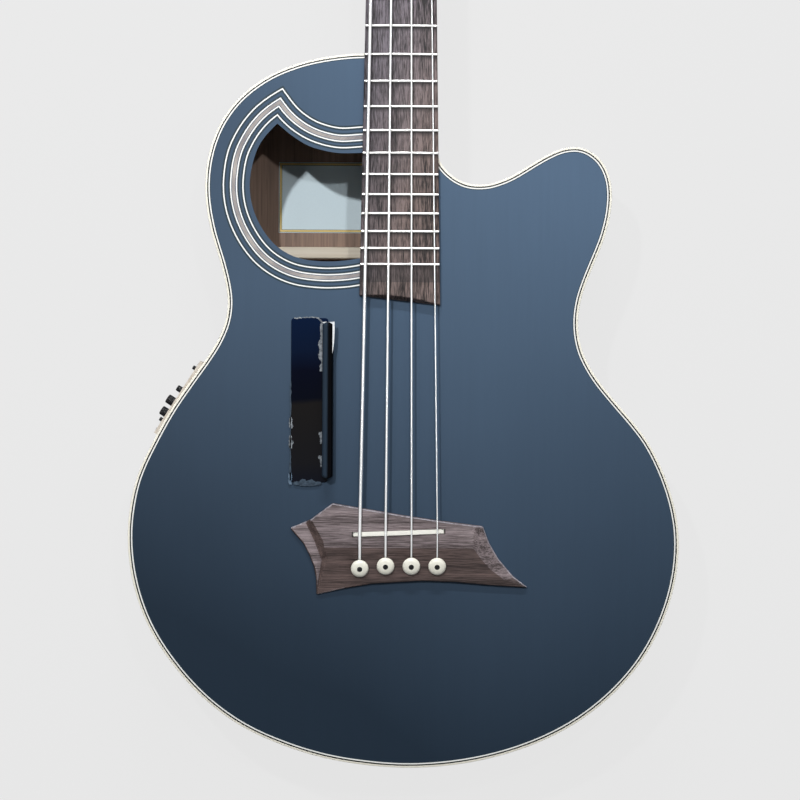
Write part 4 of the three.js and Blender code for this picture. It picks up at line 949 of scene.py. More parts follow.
def wenge_finish():
    """Near-black wood with pale flecks between its pores, a painted grey reflection up the neck, a painted
    shadow below each fret and painted light brighter towards the treble edge.
    """
    material, shader, place = new_finish("wenge_board", Specular_IOR_Level=0.3)
    colour, height = grain(place, streak_dark, streak_light, (1, 0.08, 1), 1100, 0.9, 130, 3.7)
    y = place.part("Y")
    # Painted reflection: greyer up the neck and towards the bass edge, browner towards the body and the
    # treble edge.
    sky_reflection = ((y - reflection_start_y) / (reflection_end_y - reflection_start_y) - place.part("X") * reflection_lean).clamped()
    bare = (y > bare_band[0]) * (1 - (y > bare_band[1]))
    colour = colour.shaded(sky_reflection, brown_below_reflection, grey_sky_reflection).shaded(bare, (1, 1, 1), (0.55, 0.58, 0.62))
    # Painted shadow: a dark line on the bridge side of each fret.
    number = y.math("LOGARITHM", y.math("DIVIDE", string_length * MM, y), 2) * 12
    past_fret = number.math("FRACT", number) * y * (math.log(2) / 12)
    fret_shadow = (1.3 - past_fret / fret_shadow_reach).clamped() * (y > last_fret_y)
    colour = colour.shaded(fret_shadow, (1, 1, 1), (0.10, 0.10, 0.11))
    # Painted light and shade across the board: darker at the bass edge, brighter at the treble edge.
    across = (place.part("X") / board_half * 0.5 + 0.5).clamped()
    colour = colour.shaded(across, (0.90, 0.90, 0.92), (1.26, 1.22, 1.18))
    feed(shader, Base_Color=colour, Roughness=height * 0.1 + 0.6, Normal=relief(height, 0.35))
    return material


def camber_drop(x):
    """How far the board's crown falls at a distance from the middle."""
    return x * x / (2 * camber_radius)


def board_end(across):
    """Where the board ends at a share of its half width."""
    for (start, low), (end, high) in zip(board_end_shares, board_end_shares[1:]):
        if across <= end:
            step = low + (high - low) * (across - start) / (end - start)
            return board_end_y + board_end_drop * step
    return board_end_y - board_end_drop


def board_ring(y, drop=0.0, follow_end=None):
    """The board's section, its round edges let down by a drop, at one place or along its aslant end."""
    half = board_half_width(y)
    ring = [Vector((half, y, top_z)), Vector((-half, y, top_z))]
    for i in range(board_columns + 1):
        across = -math.cos(math.pi * i / board_columns)
        x = across * half
        over = max(0, abs(x) - half + board_edge_round)
        edge_drop = board_edge_round - math.sqrt(max(0, board_edge_round ** 2 - over ** 2))
        ring.append(Vector((x, y, board_top_z - drop - camber_drop(x) - edge_drop)))
    if follow_end is not None:
        for point in ring:
            point.y = board_end(point.x / half) + follow_end
    return ring


def fingerboard():
    """The board from the nut to its aslant, rounded end."""
    reach = board_end_y + board_straight_end - string_length
    rings = [board_ring(string_length + share * reach) for share in board_ring_shares]
    return loft(rings + [board_ring(board_end_y, drop, ahead) for drop, ahead in board_end_rings])


def fret_tree():
    """Geometry nodes that lay cambered fret wire at the twelfth-root places of one string length."""
    sizes = ("String Length", "Nut Width", "Widening", "Inset", "Top", "Camber Radius", "Wire Radius")
    tree, ins = new_tree("fret_wire", "Start", sizes, ("Frets",))
    start = ins["Start"]
    rows = start.node("GeometryNodeMeshLine", None, {"Count": ins["Frets"], "Offset": (0, 1, 0)})
    line = start.node("GeometryNodeCurvePrimitiveLine", None, {"Start": (-1, 0, 0), "End": (1, 0, 0)})
    fine = line.node("GeometryNodeResampleCurve", None, {"Curve": line, "Count": fret_steps})
    wires = rows.node("GeometryNodeInstanceOnPoints", None, {"Points": rows, "Instance": fine})
    real = wires.node("GeometryNodeRealizeInstances", None, {"Geometry": wires})
    place = real.node("GeometryNodeInputPosition")
    across = place.part("X")
    number = place.part("Y") + 1
    y = ins["String Length"] * number.math("POWER", 2, number * (-1 / 12))
    half = (ins["Nut Width"] + ins["Widening"] * (ins["String Length"] - y)) / 2 - ins["Inset"]
    x = across * half
    z = ins["Top"] - x * x / (ins["Camber Radius"] * 2)
    bent = x.node("ShaderNodeCombineXYZ", None, {"X": x, "Y": y, "Z": z})
    slim = 1 - across.math("ABSOLUTE", across) ** fret_end_power * fret_end_slim
    thick = real.node("GeometryNodeSetCurveRadius", None, {"Curve": real, "Radius": slim})
    laid = thick.node("GeometryNodeSetPosition", None, {"Geometry": thick, "Position": bent})
    inputs = {"Resolution": fret_sides, "Radius": ins["Wire Radius"]}
    section = start.node("GeometryNodeCurvePrimitiveCircle", None, inputs)
    inputs = {"Curve": laid, "Profile Curve": section, "Fill Caps": True}
    return end_tree(tree, laid.node("GeometryNodeCurveToMesh", None, inputs), ins["Finish"])


def metal(name, colour, rough=(0.15, 0.3), fine=400, bump=0.05, **fixed):
    """Plated or drawn metal with a faint haze."""
    material, shader, place = new_finish(name, Metallic=1.0, **fixed)
    haze = place.mottle(fine, 3)
    hazed = haze.tint(tuple(c * 0.9 for c in colour), colour)
    roughness = haze * (rough[1] - rough[0]) + rough[0]
    feed(shader, Base_Color=hazed, Roughness=roughness, Normal=relief(haze, bump))
    return material


fret_metal = metal("fret_silver", (0.90, 0.90, 0.88), (0.22, 0.36))
add_piece("wenge_fingerboard", fingerboard(), wenge_finish(), ("fingerboard",), crease=40)
fret_sizes = {
    "Frets": fret_count, "String Length": string_length * MM, "Nut Width": nut_width * MM,
    "Widening": board_widening, "Inset": fret_inset * MM, "Camber Radius": camber_radius * MM,
    "Top": (board_top_z + fret_height - fret_wire_radius) * MM, "Wire Radius": fret_wire_radius * MM,
    "Finish": fret_metal,
}
fret_start = bpy.data.meshes.new("frets")
grown("frets", fret_start, fret_tree(), fret_sizes, fret_metal, ("fingerboard",))


# Nut and truss rod: a slotted bone nut between fingerboard and headstock, a steel rod in a channel
# under the board, and a black cover held by three screws over the rod's pocket.
bone = plastic("bone", (0.90, 0.89, 0.82), (0.3, 0.45), 220)
gloss_black = plastic("moulded_black", (0.012, 0.012, 0.013), (0.25, 0.35), 600)
rod_steel = metal("rod_steel", (0.42, 0.43, 0.45), (0.35, 0.55))
screw_steel = metal("screw_steel", (0.62, 0.62, 0.63), (0.22, 0.35))
nut_round = 0.4
rod_round = 0.4
cover_round = 0.6
cover_face = 2.3
cover_screws = ((-8.5, 6.5), (8.5, 6.5), (0, 36))
cover_screw_size = (2.1, 1.1)
screw_arms = 4
screw_steps = 24
screw_dome_shares = [(1, 0), (1, 0.35), (0.86, 0.75), (0.6, 0.95)]
screw_arm_share = 0.52
screw_web_share = 0.2
screw_recess_levels = (1, 0.35)


def spun(radius, step, steps, height):
    """A point on a circle about the Z axis."""
    turn = 2 * math.pi * step / steps
    return Vector((radius * math.cos(turn), radius * math.sin(turn), height))


def screw(radius, height):
    """A domed screw head with a cross recess."""
    arm = screw_steps // screw_arms
    recess = [screw_arm_share if i % arm in (0, 1) else screw_web_share for i in range(screw_steps)]
    rings = [([span] * screw_steps, level) for span, level in screw_dome_shares]
    rings += [(recess, level) for level in screw_recess_levels]
    return loft([[spun(radius * span, i, screw_steps, height * level) for i, span in enumerate(spans)]
                 for spans, level in rings])


eased_copy("bone_nut", "nut", bone, nut_round)
eased_copy("adjusting_rod", "truss_rod", rod_steel, rod_round)
eased_copy("rod_cover", "truss_cover", gloss_black, cover_round)
for number, (x, y) in enumerate(cover_screws, 1):
    place = head_place @ Matrix.Translation((x, y, cover_face))
    add_piece(f"cover_screw_{number}", screw(*cover_screw_size), screw_steel, place=place)


# Bridge: a block of dark wood carved with two ridges and hollow ends, glued to the soundboard, with
# a bone saddle aslant in its slot, a sensing strip below that and a hardwood pad inside.
bridge_grain = {"along": (0.035, 1, 1), "fine": 1500, "pores": 0.7, "bands": 160, "contrast": 3.0}
bridge_round = 0.9
saddle_zone = ((-41, -33, 0), (41, 6, 200))
saddle_round = 0.5
strip_round = 0.2
pad_round = 0.4
# Worn edges with a painted highlight are at most this wide.
wear_and_highlight_width = 1.6


def bridge_finish():
    """Dark open-grained wood with painted light and shade on its faces by the way they look, and front
    edges worn pale with a painted highlight.
    """
    material, shader, place = new_finish("carved_bridge", Specular_IOR_Level=0.3)
    colour, height = grain(place, (0.024, 0.016, 0.014), (0.200, 0.153, 0.138), **bridge_grain)
    facet = place.node("ShaderNodeAttribute", {"attribute_name": "facet"}, out="Fac")
    worn = place.node("ShaderNodeAttribute", {"attribute_name": "worn"}, out="Fac")
    # Painted light and shade on each face, then pale worn edges that carry a painted highlight.
    colour = colour.shaded(facet, (0.42, 0.30, 0.24), (1.75, 1.90, 2.20))
    chips = (place.mottle(420, 3, 0.7) - 0.5) * 2.4 + 0.62
    colour = (worn * chips).clamped().tint(colour, (0.42, 0.40, 0.45))
    feed(shader, Base_Color=colour, Roughness=height * 0.1 + 0.58, Normal=relief(height, 0.35))
    return material


def mark_faces(piece, name, value):
    """Keeps a number from 0 to 1 for each face, for its finish to read."""
    marks = piece.data.attributes.new(name, "FLOAT", "FACE")
    for face in piece.data.polygons:
        marks.data[face.index].value = value(face)


def facet_light_and_shade(face):
    """Painted light and shade by the way a face looks: pale on the flat top and the treble slope, darker on
    the slopes to the tail and the bass side.
    """
    normal = face.normal
    if normal.x > 0.12 and normal.z > 0.2:
        return 0.92
    if normal.x < -0.12 and normal.z > 0.2:
        return 0.2
    return 0.92 if normal.z > 0.994 else 0.22 if normal.y < 0 else 0.38


def edge_wear_and_highlight(face):
    """Worn edges with a painted highlight: only the narrow faces along edges that look to the neck or the
    treble side, towards the lamps.
    """
    points = [bridge_corners[k].co for k in face.vertices]
    longest = max((a - b).length for a, b in zip(points, points[1:] + points[:1]))
    narrow = face.area / longest < wear_and_highlight_width * MM
    return float(narrow and (face.normal.y > 0.15 or face.normal.x > 0.3))


pad_wood = wood("bridge_plate_wood", (0.034, 0.022, 0.019), (0.155, 0.112, 0.094), (0.5, 0.68),
                **bridge_grain)
bridge = eased_copy("carved_bridge", "bridge", bridge_finish(), bridge_round,
                    steps=1, spared=saddle_zone)
bridge_corners = bridge.data.vertices
mark_faces(bridge, "facet", facet_light_and_shade)
mark_faces(bridge, "worn", edge_wear_and_highlight)
eased_copy("bone_saddle", "saddle", bone, saddle_round)
eased_copy("sensing_strip", "pickup_strip", rod_steel, strip_round)
eased_copy("inner_pad", "bridge_plate", pad_wood, pad_round)


# Bridge pins: turned cream pegs with a domed head and a dark dot, flat on the side of the string.
# They are pushed in square to the sloping back of the bridge and wedge the ball ends.
string_diameters = (2.67, 2.03, 1.52, 1.14)
tones = "eadg"
span_at_saddle = 62.2
pin_zone_slope = math.radians(9.7)
pin_zone_start = -12
bridge_height = 9
pin_place_y = -26.4
first_pin_back = 2
pin_flat = 1.2
pin_flat_top = 1.19
pin_head_lift = 1.2
pin_profile = [(0, -24), (2.6, -24), (3.2, -23.2), (4.1, 0.6), (4.1, 1.2), (6.5, 1.2), (7.1, 1.7),
               (7.1, 2.2), (6.75, 2.9), (6.0, 3.6), (4.9, 4.1), (3.5, 4.42), (2.2, 4.55), (0, 4.6)]
pin_dot_profile = [(0, 4.2), (2.1, 4.2), (2.1, 4.6), (1.8, 4.66), (0, 4.68)]
pin_dot_steps = 32


def turned(profile, steps=48, flat=None):
    """A shape turned on the Z axis from radii and heights, its stem cut flat on one side if asked."""
    rings = []
    for radius, height in profile:
        ring = [spun(radius, i, steps, height) for i in range(steps)]
        if flat and height <= flat[1]:
            for point in ring:
                point.y = min(point.y, flat[0])
        rings.append(ring)
    return loft(rings, capped=False)


def string_share(i):
    """A string's place across the bridge or the nut, from -0.5 for the lowest string to 0.5."""
    return i / (len(string_diameters) - 1) - 0.5


def pin_zone_z(y):
    """The height of the bridge's sloping back."""
    return top_z + bridge_height + math.tan(pin_zone_slope) * (y - pin_zone_start)


def pin_place(i):
    """Where a string's pin goes in, leaned square to the slope."""
    y = pin_place_y - (first_pin_back if i == 0 else 0)
    spot = Matrix.Translation((string_share(i) * span_at_saddle, y, pin_zone_z(y)))
    return spot @ Matrix.Rotation(pin_zone_slope, 4, "X")


pin_cream = plastic("pin_cream", (0.90, 0.885, 0.78), (0.3, 0.42), 260)
pin_dot = plastic("pin_dot", (0.006, 0.006, 0.007), (0.5, 0.6), 300, Specular_IOR_Level=0.2)
for i, tone in enumerate(tones):
    peg = turned(pin_profile, flat=(pin_flat, pin_flat_top))
    dot = turned(pin_dot_profile, pin_dot_steps)
    node = f"bridge_pin_{tone}"
    add_piece(f"pin_{tone}", peg, pin_cream, (node,), place=pin_place(i))
    add_piece(f"pin_dot_{tone}", dot, pin_dot, (node,), place=pin_place(i))


# Tuning machines: closed chromed housings under the headstock, each with a worm on its key that
# drives the gear of its post. A bushing screwed in from the face holds the post upright.
post_x = 26
post_near_y = 52
post_far_y = 118
post_radius = 4.6
housing_round = 1.2
head_bottom = -head_thickness - 0.3
gear_low = head_bottom - 8.75
gear_high = gear_low + 4.5
shaft_back = 9.8
shaft_level = (gear_low + gear_high) / 2
key_start = 24
key_length = 24
key_breadth = 20
key_thickness = 7
key_end_share = 0.3
key_rings = 24
key_ring_sides = 32
shaft_sides = 24
tuner_places = ((-1, post_near_y), (-1, post_far_y), (1, post_far_y), (1, post_near_y))
chrome = metal("chrome", (0.80, 0.81, 0.83), (0.06, 0.14), 60, 0.02)
post_profile = [(0, gear_low), (6.5, gear_low), (6.5, gear_high), (post_radius, gear_high),
                (post_radius, 12.6), (4.0, 13.2), (3.95, 15.4), (4.6, 16.0), (5.9, 16.3), (6.0, 17.2),
                (5.7, 17.8), (5.0, 18), (0, 18)]
bushing_profile = [(4.9, -10), (6.6, -10), (6.6, 0.3), (8.5, 0.3), (8.5, 1.3), (8.2, 1.8), (7.5, 2.2),
                   (5.4, 2.3), (4.9, 1.9), (4.9, -10)]
shaft_profile = [(-9.7, 0.01), (-9.7, 3), (10, 3), (10, 2.6), (key_start + 1, 2.6), (key_start + 1, 0.01)]


def oval_ring(x, thick, broad, sides, squareness=(1, 1)):
    """A ring about the X axis, its quarters fuller with a squareness under 1."""
    ring = []
    for i in range(sides):
        turn = 2 * math.pi * i / sides
        y, z = (math.copysign(abs(part) ** power, part)
                for part, power in zip((math.cos(turn), math.sin(turn)), squareness))
        ring.append(Vector((x, thick * y, broad * z)))
    return ring


def key_shape():
    """A shaft with its worm and a flat oval button, along +X."""
    points, faces, _ = loft([oval_ring(x, radius, radius, shaft_sides) for x, radius in shaft_profile])
    rings = []
    for step in range(key_rings + 1):
        along = -math.cos(math.pi * step / key_rings)
        out = abs(along)
        broad = key_breadth / 2 * max(0.0, 1 - out ** 2.4) ** 0.5
        full = key_end_share + (1 - key_end_share) * max(0.0, 1 - out ** 4)
        thick = key_thickness / 2 * full * max(0.0, 1 - out ** 8) ** 0.5
        x = key_start + key_length / 2 * (1 + along)
        rings.append(oval_ring(x, thick, broad, key_ring_sides, (0.7, 0.9)))
    more, more_faces, _ = loft(rings)
    shift = len(points)
    return points + more, faces + [tuple(k + shift for k in face) for face in more_faces], None


for tone, (side, y) in zip(tones, tuner_places):
    spot = head_place @ Matrix.Translation((side * post_x, y, 0))
    facing = Matrix.Rotation(0 if side > 0 else math.pi, 4, "Z")
    key_spot = spot @ Matrix.Translation((0, -shaft_back, shaft_level)) @ facing
    eased_copy(f"housing_{tone}", f"tuner_housing_{tone}", chrome, housing_round, steps=4)
    for part, shape, body, place in (("post", turned(post_profile), f"post_{tone}", spot),
                                     ("bushing", turned(bushing_profile), "root", spot),
                                     ("key", key_shape(), f"key_{tone}", key_spot)):
        add_piece(f"{part}_{tone}", shape, chrome, (f"tuner_{part}_{tone}",), body, place)


# Strings: steel cores wound with round wire. Each rises past its pin, turns over the saddle and
# the nut and winds down its post.
span_at_nut = 35.4
saddle_slope = math.tan(math.radians(2.3))
saddle_crown = 11.2
glue_gap = 0.3
nut_clearance = 0.5
string_back = 2.9
string_rest = 7.1
wind_turns = 2
wind_steps = 32
wind_clearance = 0.55
wind_lift = 1
bushing_top = 2.3
ball_back = 4.3
ball_radius = 2.8
ball_length = 5
ball_sides = 24
ball_profile_shares = [(0, 0), (2.3, 0), (2.8, 0.5), (2.2, 1.6), (2.2, 3.4), (2.8, 4.5), (2.3, 5), (0, 5)]
string_sides = 12
wound_wire = 0.0009


def string_finish():
    """Bright wound wire: fine ridges across the string, from the way along it."""
    material, shader, way = new_finish("wound_steel", uv=True, Metallic=1.0)
    along = way.part("X")
    ridge = along.math("SINE", along * (2 * math.pi / wound_wire)) * 0.5 + 0.5
    haze = way.mottle(300, 2)
    feed(shader, Base_Color=ridge.tint((0.72, 0.74, 0.75), (0.90, 0.91, 0.91)),
         Roughness=haze * 0.12 + 0.26, Normal=relief(ridge, 0.5, 0.15))
    return material


def sweep(path, radius, sides):
    """A round bar along a path. Its UV is the way along it and round it."""
    steps = [(b - a).normalized() for a, b in zip(path, path[1:])]
    side, heading = Vector((1, 0, 0)), steps[0]
    rings, way = [], [0]
    for i, point in enumerate(path):
        tangent = (steps[max(i - 1, 0)] + steps[min(i, len(steps) - 1)]).normalized()
        side = heading.rotation_difference(tangent) @ side
        side = (side - tangent * side.dot(tangent)).normalized()
        heading, up = tangent, tangent.cross(side)
        rings.append([point + (side * math.cos(t) + up * math.sin(t)) * radius
                      for t in (2 * math.pi * k / sides for k in range(sides))])
        if i:
            way.append(way[-1] + (point - path[i - 1]).length * MM)
    points, faces, _ = loft(rings)
    uvs = []
    for r in range(len(rings) - 1):
        for k in range(sides):
            low, high = k * MM, (k + 1) * MM
            uvs.append([(way[r], low), (way[r], high), (way[r + 1], high), (way[r + 1], low)])
    return points, faces, uvs + [[(0, 0)] * sides, [(way[-1], 0)] * sides]


def ball_foot(i):
    """How deep a ball end sits along its pin, drawn up against the pad inside."""
    wood = pin_place(i).translation.z - box_mm("bridge_plate")[0].z
    slant = (ball_back + ball_radius) * math.sin(pin_zone_slope)
    return -(wood + slant) / math.cos(pin_zone_slope) - glue_gap - ball_length


def post_turns(i, arrive):
    """The string's turns round its post, from where it arrives from the nut, lower at each turn."""
    side, y = tuner_places[i]
    start = head_place.inverted() @ arrive
    radius = string_diameters[i] / 2
    reach = post_radius + glue_gap + radius
    from_x, from_y = start.x - side * post_x, start.y - y
    first = math.atan2(from_y, from_x) - side * math.acos(reach / math.hypot(from_x, from_y))
    pitch = string_diameters[i] + wind_clearance
    lowest = bushing_top + wind_lift + radius
    turns = []
    for step in range(wind_turns * wind_steps + 1):
        turn = first - side * step / wind_steps * 2 * math.pi
        height = lowest + (wind_turns - step / wind_steps) * pitch
        spot = Vector((side * post_x + reach * math.cos(turn), y + reach * math.sin(turn), height))
        turns.append(head_place @ spot)
    return turns


def string_path(i):
    """A string's way from its ball end, past its pin and over saddle and nut, to its post."""
    radius = string_diameters[i] / 2
    x, nut_x = string_share(i) * span_at_saddle, string_share(i) * span_at_nut
    under_head = pin_head_lift - glue_gap - radius
    nut_z = board_top_z + fret_height + nut_clearance - camber_drop(nut_x) + radius
    crown_z = top_z + saddle_crown - camber_drop(x) + glue_gap + radius
    spots = ((string_back, ball_foot(i)), (string_back, under_head - 2 * radius),
             (string_back + radius / 2, under_head - radius / 2), (string_rest, under_head))
    path = [pin_place(i) @ Vector((0, *spot)) for spot in spots]
    path += [Vector((x, x * saddle_slope, crown_z)), Vector((nut_x, string_length, nut_z)),
             Vector((nut_x, nut_high.y, nut_z))]
    return path + post_turns(i, path[-1])


wound_steel = string_finish()
ball_brass = metal("ball_brass", (0.75, 0.56, 0.28), (0.3, 0.45))
for i, tone in enumerate(tones):
    node = f"string_{tone}"
    string = sweep(string_path(i), string_diameters[i] / 2, string_sides)
    add_piece(f"wound_string_{tone}", string, wound_steel, (node,), crease=60)
    ball = turned([(radius, ball_foot(i) + up) for radius, up in ball_profile_shares], ball_sides)
    spot = pin_place(i) @ Matrix.Translation((0, ball_back, 0))
    add_piece(f"ball_end_{tone}", ball, ball_brass, (node,), place=spot)


# Thumb rest: a black plastic foot glued to the top with a rounded lip along its treble side. Torn
# scraps of the clear film that protected it still cling along its edges, and a pale lifted scrap by the lip
# also stands in for a painted highlight.
rest_low, rest_high = box_mm("thumb_rest")
foot_right = -57.5
foot_height = 1.6
foot_corner = 2.5
foot_rounding = (0.5, 0.15)
lip_left = -62
lip_inset = 3.5
lip_end_round = 2.4
lip_end_steps = (0, 20, 40, 58, 72, 84)
# Painted reflection on the polished foot: navy towards the neck, charcoal towards the bridge.
rest_reflection_tones = [
    (0.00, (0.004, 0.005, 0.010, 1)), (0.12, (0.007, 0.007, 0.009, 1)), (0.47, (0.009, 0.008, 0.008, 1)),
    (0.50, (0.000, 0.001, 0.006, 1)), (0.68, (0.000, 0.001, 0.008, 1)), (0.80, (0.001, 0.006, 0.024, 1)),
    (1.00, (0.001, 0.008, 0.033, 1)),
]
# Painted light and shade on the lip: grey on its lit bass flank, black on its shaded treble flank.
lip_lit_grey = (0.022, 0.036, 0.056)
lip_shaded_black = (0.0003, 0.0004, 0.0012)
lip_end_height = 0.8
lip_profile_shares = [
    (0, -1), (0, 0.52), (0.03, 0.75), (0.12, 0.90), (0.27, 0.985), (0.42, 1), (0.60, 0.985), (0.78, 0.93),
    (0.92, 0.82), (0.985, 0.66), (1, 0.45), (1, -1),
]
film_scraps = {
    "bass_edge": [
        (-0.035, 0.010), (0.010, 0.015), (0.012, 0.200), (0.006, 0.400), (0.012, 0.600), (-0.016, 0.620),
        (-0.026, 0.400), (-0.020, 0.200),
    ],
    "bass_upper": [
        (-0.04, 0.335), (0.03, 0.328), (0.07, 0.345), (0.04, 0.362), (0.05, 0.380), (-0.02, 0.395),
        (-0.05, 0.370),
    ],
    "bass_middle": [
        (-0.05, 0.215), (0.02, 0.205), (0.05, 0.225), (0.08, 0.245), (0.03, 0.262), (0.03, 0.280),
        (-0.03, 0.285), (-0.05, 0.250),
    ],
    "bass_foot": [
        (-0.05, -0.010), (0.03, -0.012), (0.03, 0.010), (0.055, 0.032), (0.0, 0.060), (-0.05, 0.050),
    ],
    "treble_high": [
        (0.95, 0.672), (0.99, 0.700), (0.99, 0.975), (0.91, 0.955), (0.93, 0.880), (0.86, 0.850),
        (0.90, 0.800), (0.86, 0.765), (0.95, 0.735), (0.91, 0.700),
    ],
    "treble_middle": [(0.94, 0.236), (0.99, 0.240), (0.99, 0.305), (0.88, 0.298), (0.93, 0.275)],
    "treble_low": [(0.95, 0.095), (0.99, 0.100), (0.99, 0.158), (0.86, 0.156), (0.92, 0.140)],
    "foot_end": [
        (0.10, -0.012), (0.30, -0.020), (0.55, -0.024), (0.80, -0.020), (0.97, -0.012), (0.93, 0.004),
        (0.78, 0.006), (0.66, 0.018), (0.52, 0.010), (0.40, 0.020), (0.26, 0.004), (0.12, 0.002),
    ],
    "neck_end": [
        (0.10, 0.996), (0.40, 1.000), (0.80, 0.999), (0.96, 0.972), (1.00, 0.976), (0.84, 1.005),
        (0.40, 1.006), (0.10, 1.003),
    ],
}
film_steps = 12
film_tears = ((0.8, 0.6), (2.1, 0.55))
film_gap = 0.02
film_thickness = 0.08
peel_levels = (10.6, 10.8)
peel_corners = [
    (-9.0, 3.9), (-7.0, 3.4), (-3.4, 3.6), (0.8, 3.2), (1.0, 10), (0.5, 20), (-0.6, 28.5), (-1.2, 27),
    (-0.7, 18), (-0.9, 11), (-2.0, 8.2), (-4.0, 6.2), (-6.6, 5.3),
]


def rest_finish():
    """Polished black plastic with a painted reflection: navy towards the neck, charcoal towards the bridge.
    """
    material, shader, place = new_finish("polished_black", Specular_IOR_Level=0.06)
    wave = place.mottle(40, 3)
    share = (place.part("Y") / MM - rest_low.y) / (rest_high.y - rest_low.y)
    share = share + (wave - 0.5) * 0.05 - place.part("X") * 0.9 - 0.07
    tone = share.node("ShaderNodeValToRGB", {"stops": rest_reflection_tones}, {"Fac": share})
    feed(shader, Base_Color=tone, Roughness=wave * 0.05 + 0.04, Normal=relief(wave, 0.03))
    return material


def lip_finish():
    """The same plastic on the lip, with painted light making its bass flank dull grey and painted shade
    making the other black.
    """
    material, shader, place = new_finish("polished_lip", Specular_IOR_Level=0.05)
    streak = place.mottle(90, 3, 0.5, (1, 0.05, 1))
    across = (place.part("X") / MM - lip_left) / (rest_high.x - lip_left) + (streak - 0.5) * 0.25
    # Painted light on the bass flank, painted shade on the treble flank.
    lit_flank = 1 - ((across - 0.36) * 5).clamped()
    feed(shader, Base_Color=lit_flank.tint(lip_shaded_black, lip_lit_grey), Roughness=streak * 0.1 + 0.08)
    return material


def film_finish(name, dull, bright):
    """Thin crumpled film, pale along its creases."""
    material, shader, place = new_finish(name, Roughness=0.35, Specular_IOR_Level=0.2)
    crease = (place.mottle(380, 4, 0.7) - 0.5) * 2.6 + 0.5
    feed(shader, Base_Color=crease.clamped().tint(dull, bright), Normal=relief(crease, 0.4))
    return material


def torn(points):
    """A closed run through points whose edge is frayed."""
    run = smooth_run(points, film_steps, closed=True)
    if turning(run) < 0:
        run = run[::-1]
    frayed = []
    for i, point in enumerate(run):
        out = (run[(i + 1) % len(run)] - run[i - 1]).normalized()
        tear = sum(noise((point * scale).to_3d()) * reach for scale, reach in film_tears)
        frayed.append(point + Vector((out.y, -out.x)) * tear)
    return frayed


def rounded_box(low, high, radius, steps=6):
    """The outline of a flat box with round corners."""
    near, far = [low[k] + radius for k in (0, 1)], [high[k] - radius for k in (0, 1)]
    run = []
    for k, spot in enumerate(((far[0], near[1]), far, (near[0], far[1]), near)):
        centre = Vector(spot)
        for step in range(steps + 1):
            turn = math.pi / 2 * (k - 1 + step / steps)
            run.append(centre + Vector((math.cos(turn), math.sin(turn))) * radius)
    return run


def lip_shape():
    """The lip as rings along the neck, round in plan at both ends."""
    base = top_z + foot_height / 2
    width = rest_high.x - lip_left
    ends = [(1 - math.sin(turn), math.cos(turn)) for turn in map(math.radians, lip_end_steps)]
    start, finish = rest_low.y + lip_inset, rest_high.y - lip_inset
    places = [(start + short * lip_end_round, wide) for short, wide in ends[::-1]]
    places += [(start + lip_end_round + 1, 1), (finish - lip_end_round - 1, 1)]
    places += [(finish - short * lip_end_round, wide) for short, wide in ends]
    middle = lip_left + width / 2
    rings = []
    for y, wide in places:
        tall = (rest_high.z - base) * (lip_end_height + (1 - lip_end_height) * wide)
        rings.append([Vector((middle + (across - 0.5) * width * wide, y, base + tall * max(up, 0)))
                      for across, up in lip_profile_shares])
    return loft(rings)


grey_film = film_finish("torn_film", (0.035, 0.045, 0.058), (0.34, 0.37, 0.40))
pale_highlight_film = film_finish("lifted_film_highlight", (0.62, 0.66, 0.70), (0.92, 0.94, 0.95))
blue_film = film_finish("flat_film", (0.030, 0.060, 0.100), (0.19, 0.27, 0.37))
dark_film = film_finish("edge_film", (0.012, 0.022, 0.038), (0.055, 0.085, 0.120))
film_finishes = {"bass_edge": dark_film, "foot_end": dark_film, "bass_foot": blue_film}
foot_top = top_z + foot_height
foot_ease, foot_shoulder = foot_rounding
foot_profile = [(0, top_z), (0, foot_top - foot_ease), (foot_shoulder, foot_top - foot_shoulder),
                (foot_ease, foot_top)]
foot_loop = rounded_box((rest_low.x, rest_low.y), (foot_right, rest_high.y), foot_corner)
foot_size = Vector((lip_left - rest_low.x, rest_high.y - rest_low.y))
thumb_rest = ("thumb_rest",)
add_piece("rest_foot", slab([foot_loop], foot_profile), rest_finish(), thumb_rest, crease=15)
add_piece("rest_lip", lip_shape(), lip_finish(), thumb_rest, crease=50)
for name, shares in film_scraps.items():
    loop = torn([rest_low.xy + Vector((across, up)) * foot_size for across, up in shares])
    scrap = slab([loop], [(0, foot_top + film_gap), (0, foot_top + film_thickness)])
    add_piece(f"film_{name}", scrap, film_finishes.get(name, grey_film), thumb_rest)
# A pale lifted scrap of film by the lip's neck end, which also stands in for a painted highlight there.
peel_highlight = loft([[Vector((rest_high.x + x, rest_high.y - y, top_z + level)) for x, y in peel_corners]
             for level in peel_levels])
add_piece("film_peel_highlight", peel_highlight, pale_highlight_film, thumb_rest)


# Preamp: a pale wooden panel screwed over a window in the bass side. Three ribbed knobs turn and two
# buttons press in it. The electronics sit in a box behind, with a battery.
panel_thickness = 3.6
panel_round = 0.5
panel_screw_places = (31.2, 20.2)
panel_screw_size = (1.7, 0.8)
box_round = 0.8
battery_round = 1.2
window_half = (31.5, 20.5, 30)
knob_ribs = 24
knob_steps = knob_ribs * 6
rib_depth = 0.06
knob_gap = 0.3
panel_wood = wood("panel_wood", (0.50, 0.43, 0.35), (0.80, 0.75, 0.67), (0.45, 0.6),
                  along=(1, 1, 0.04), fine=300, pores=0.25)
knob_black = plastic("knob_black", (0.006, 0.007, 0.009), (0.2, 0.32), 700, Specular_IOR_Level=0.12)
box_black = plastic("box_black", (0.02, 0.02, 0.022), (0.5, 0.65), 900)
knob_sizes = {"volume": (3.9, 7.2), "bass": (3.9, 6.2), "treble": (2.6, 5.2)}
groove_half = 0.35
groove_depth = 0.4
button_height = 3.6
button_radius = 1.7
button_round = 0.5
control_depth = 8
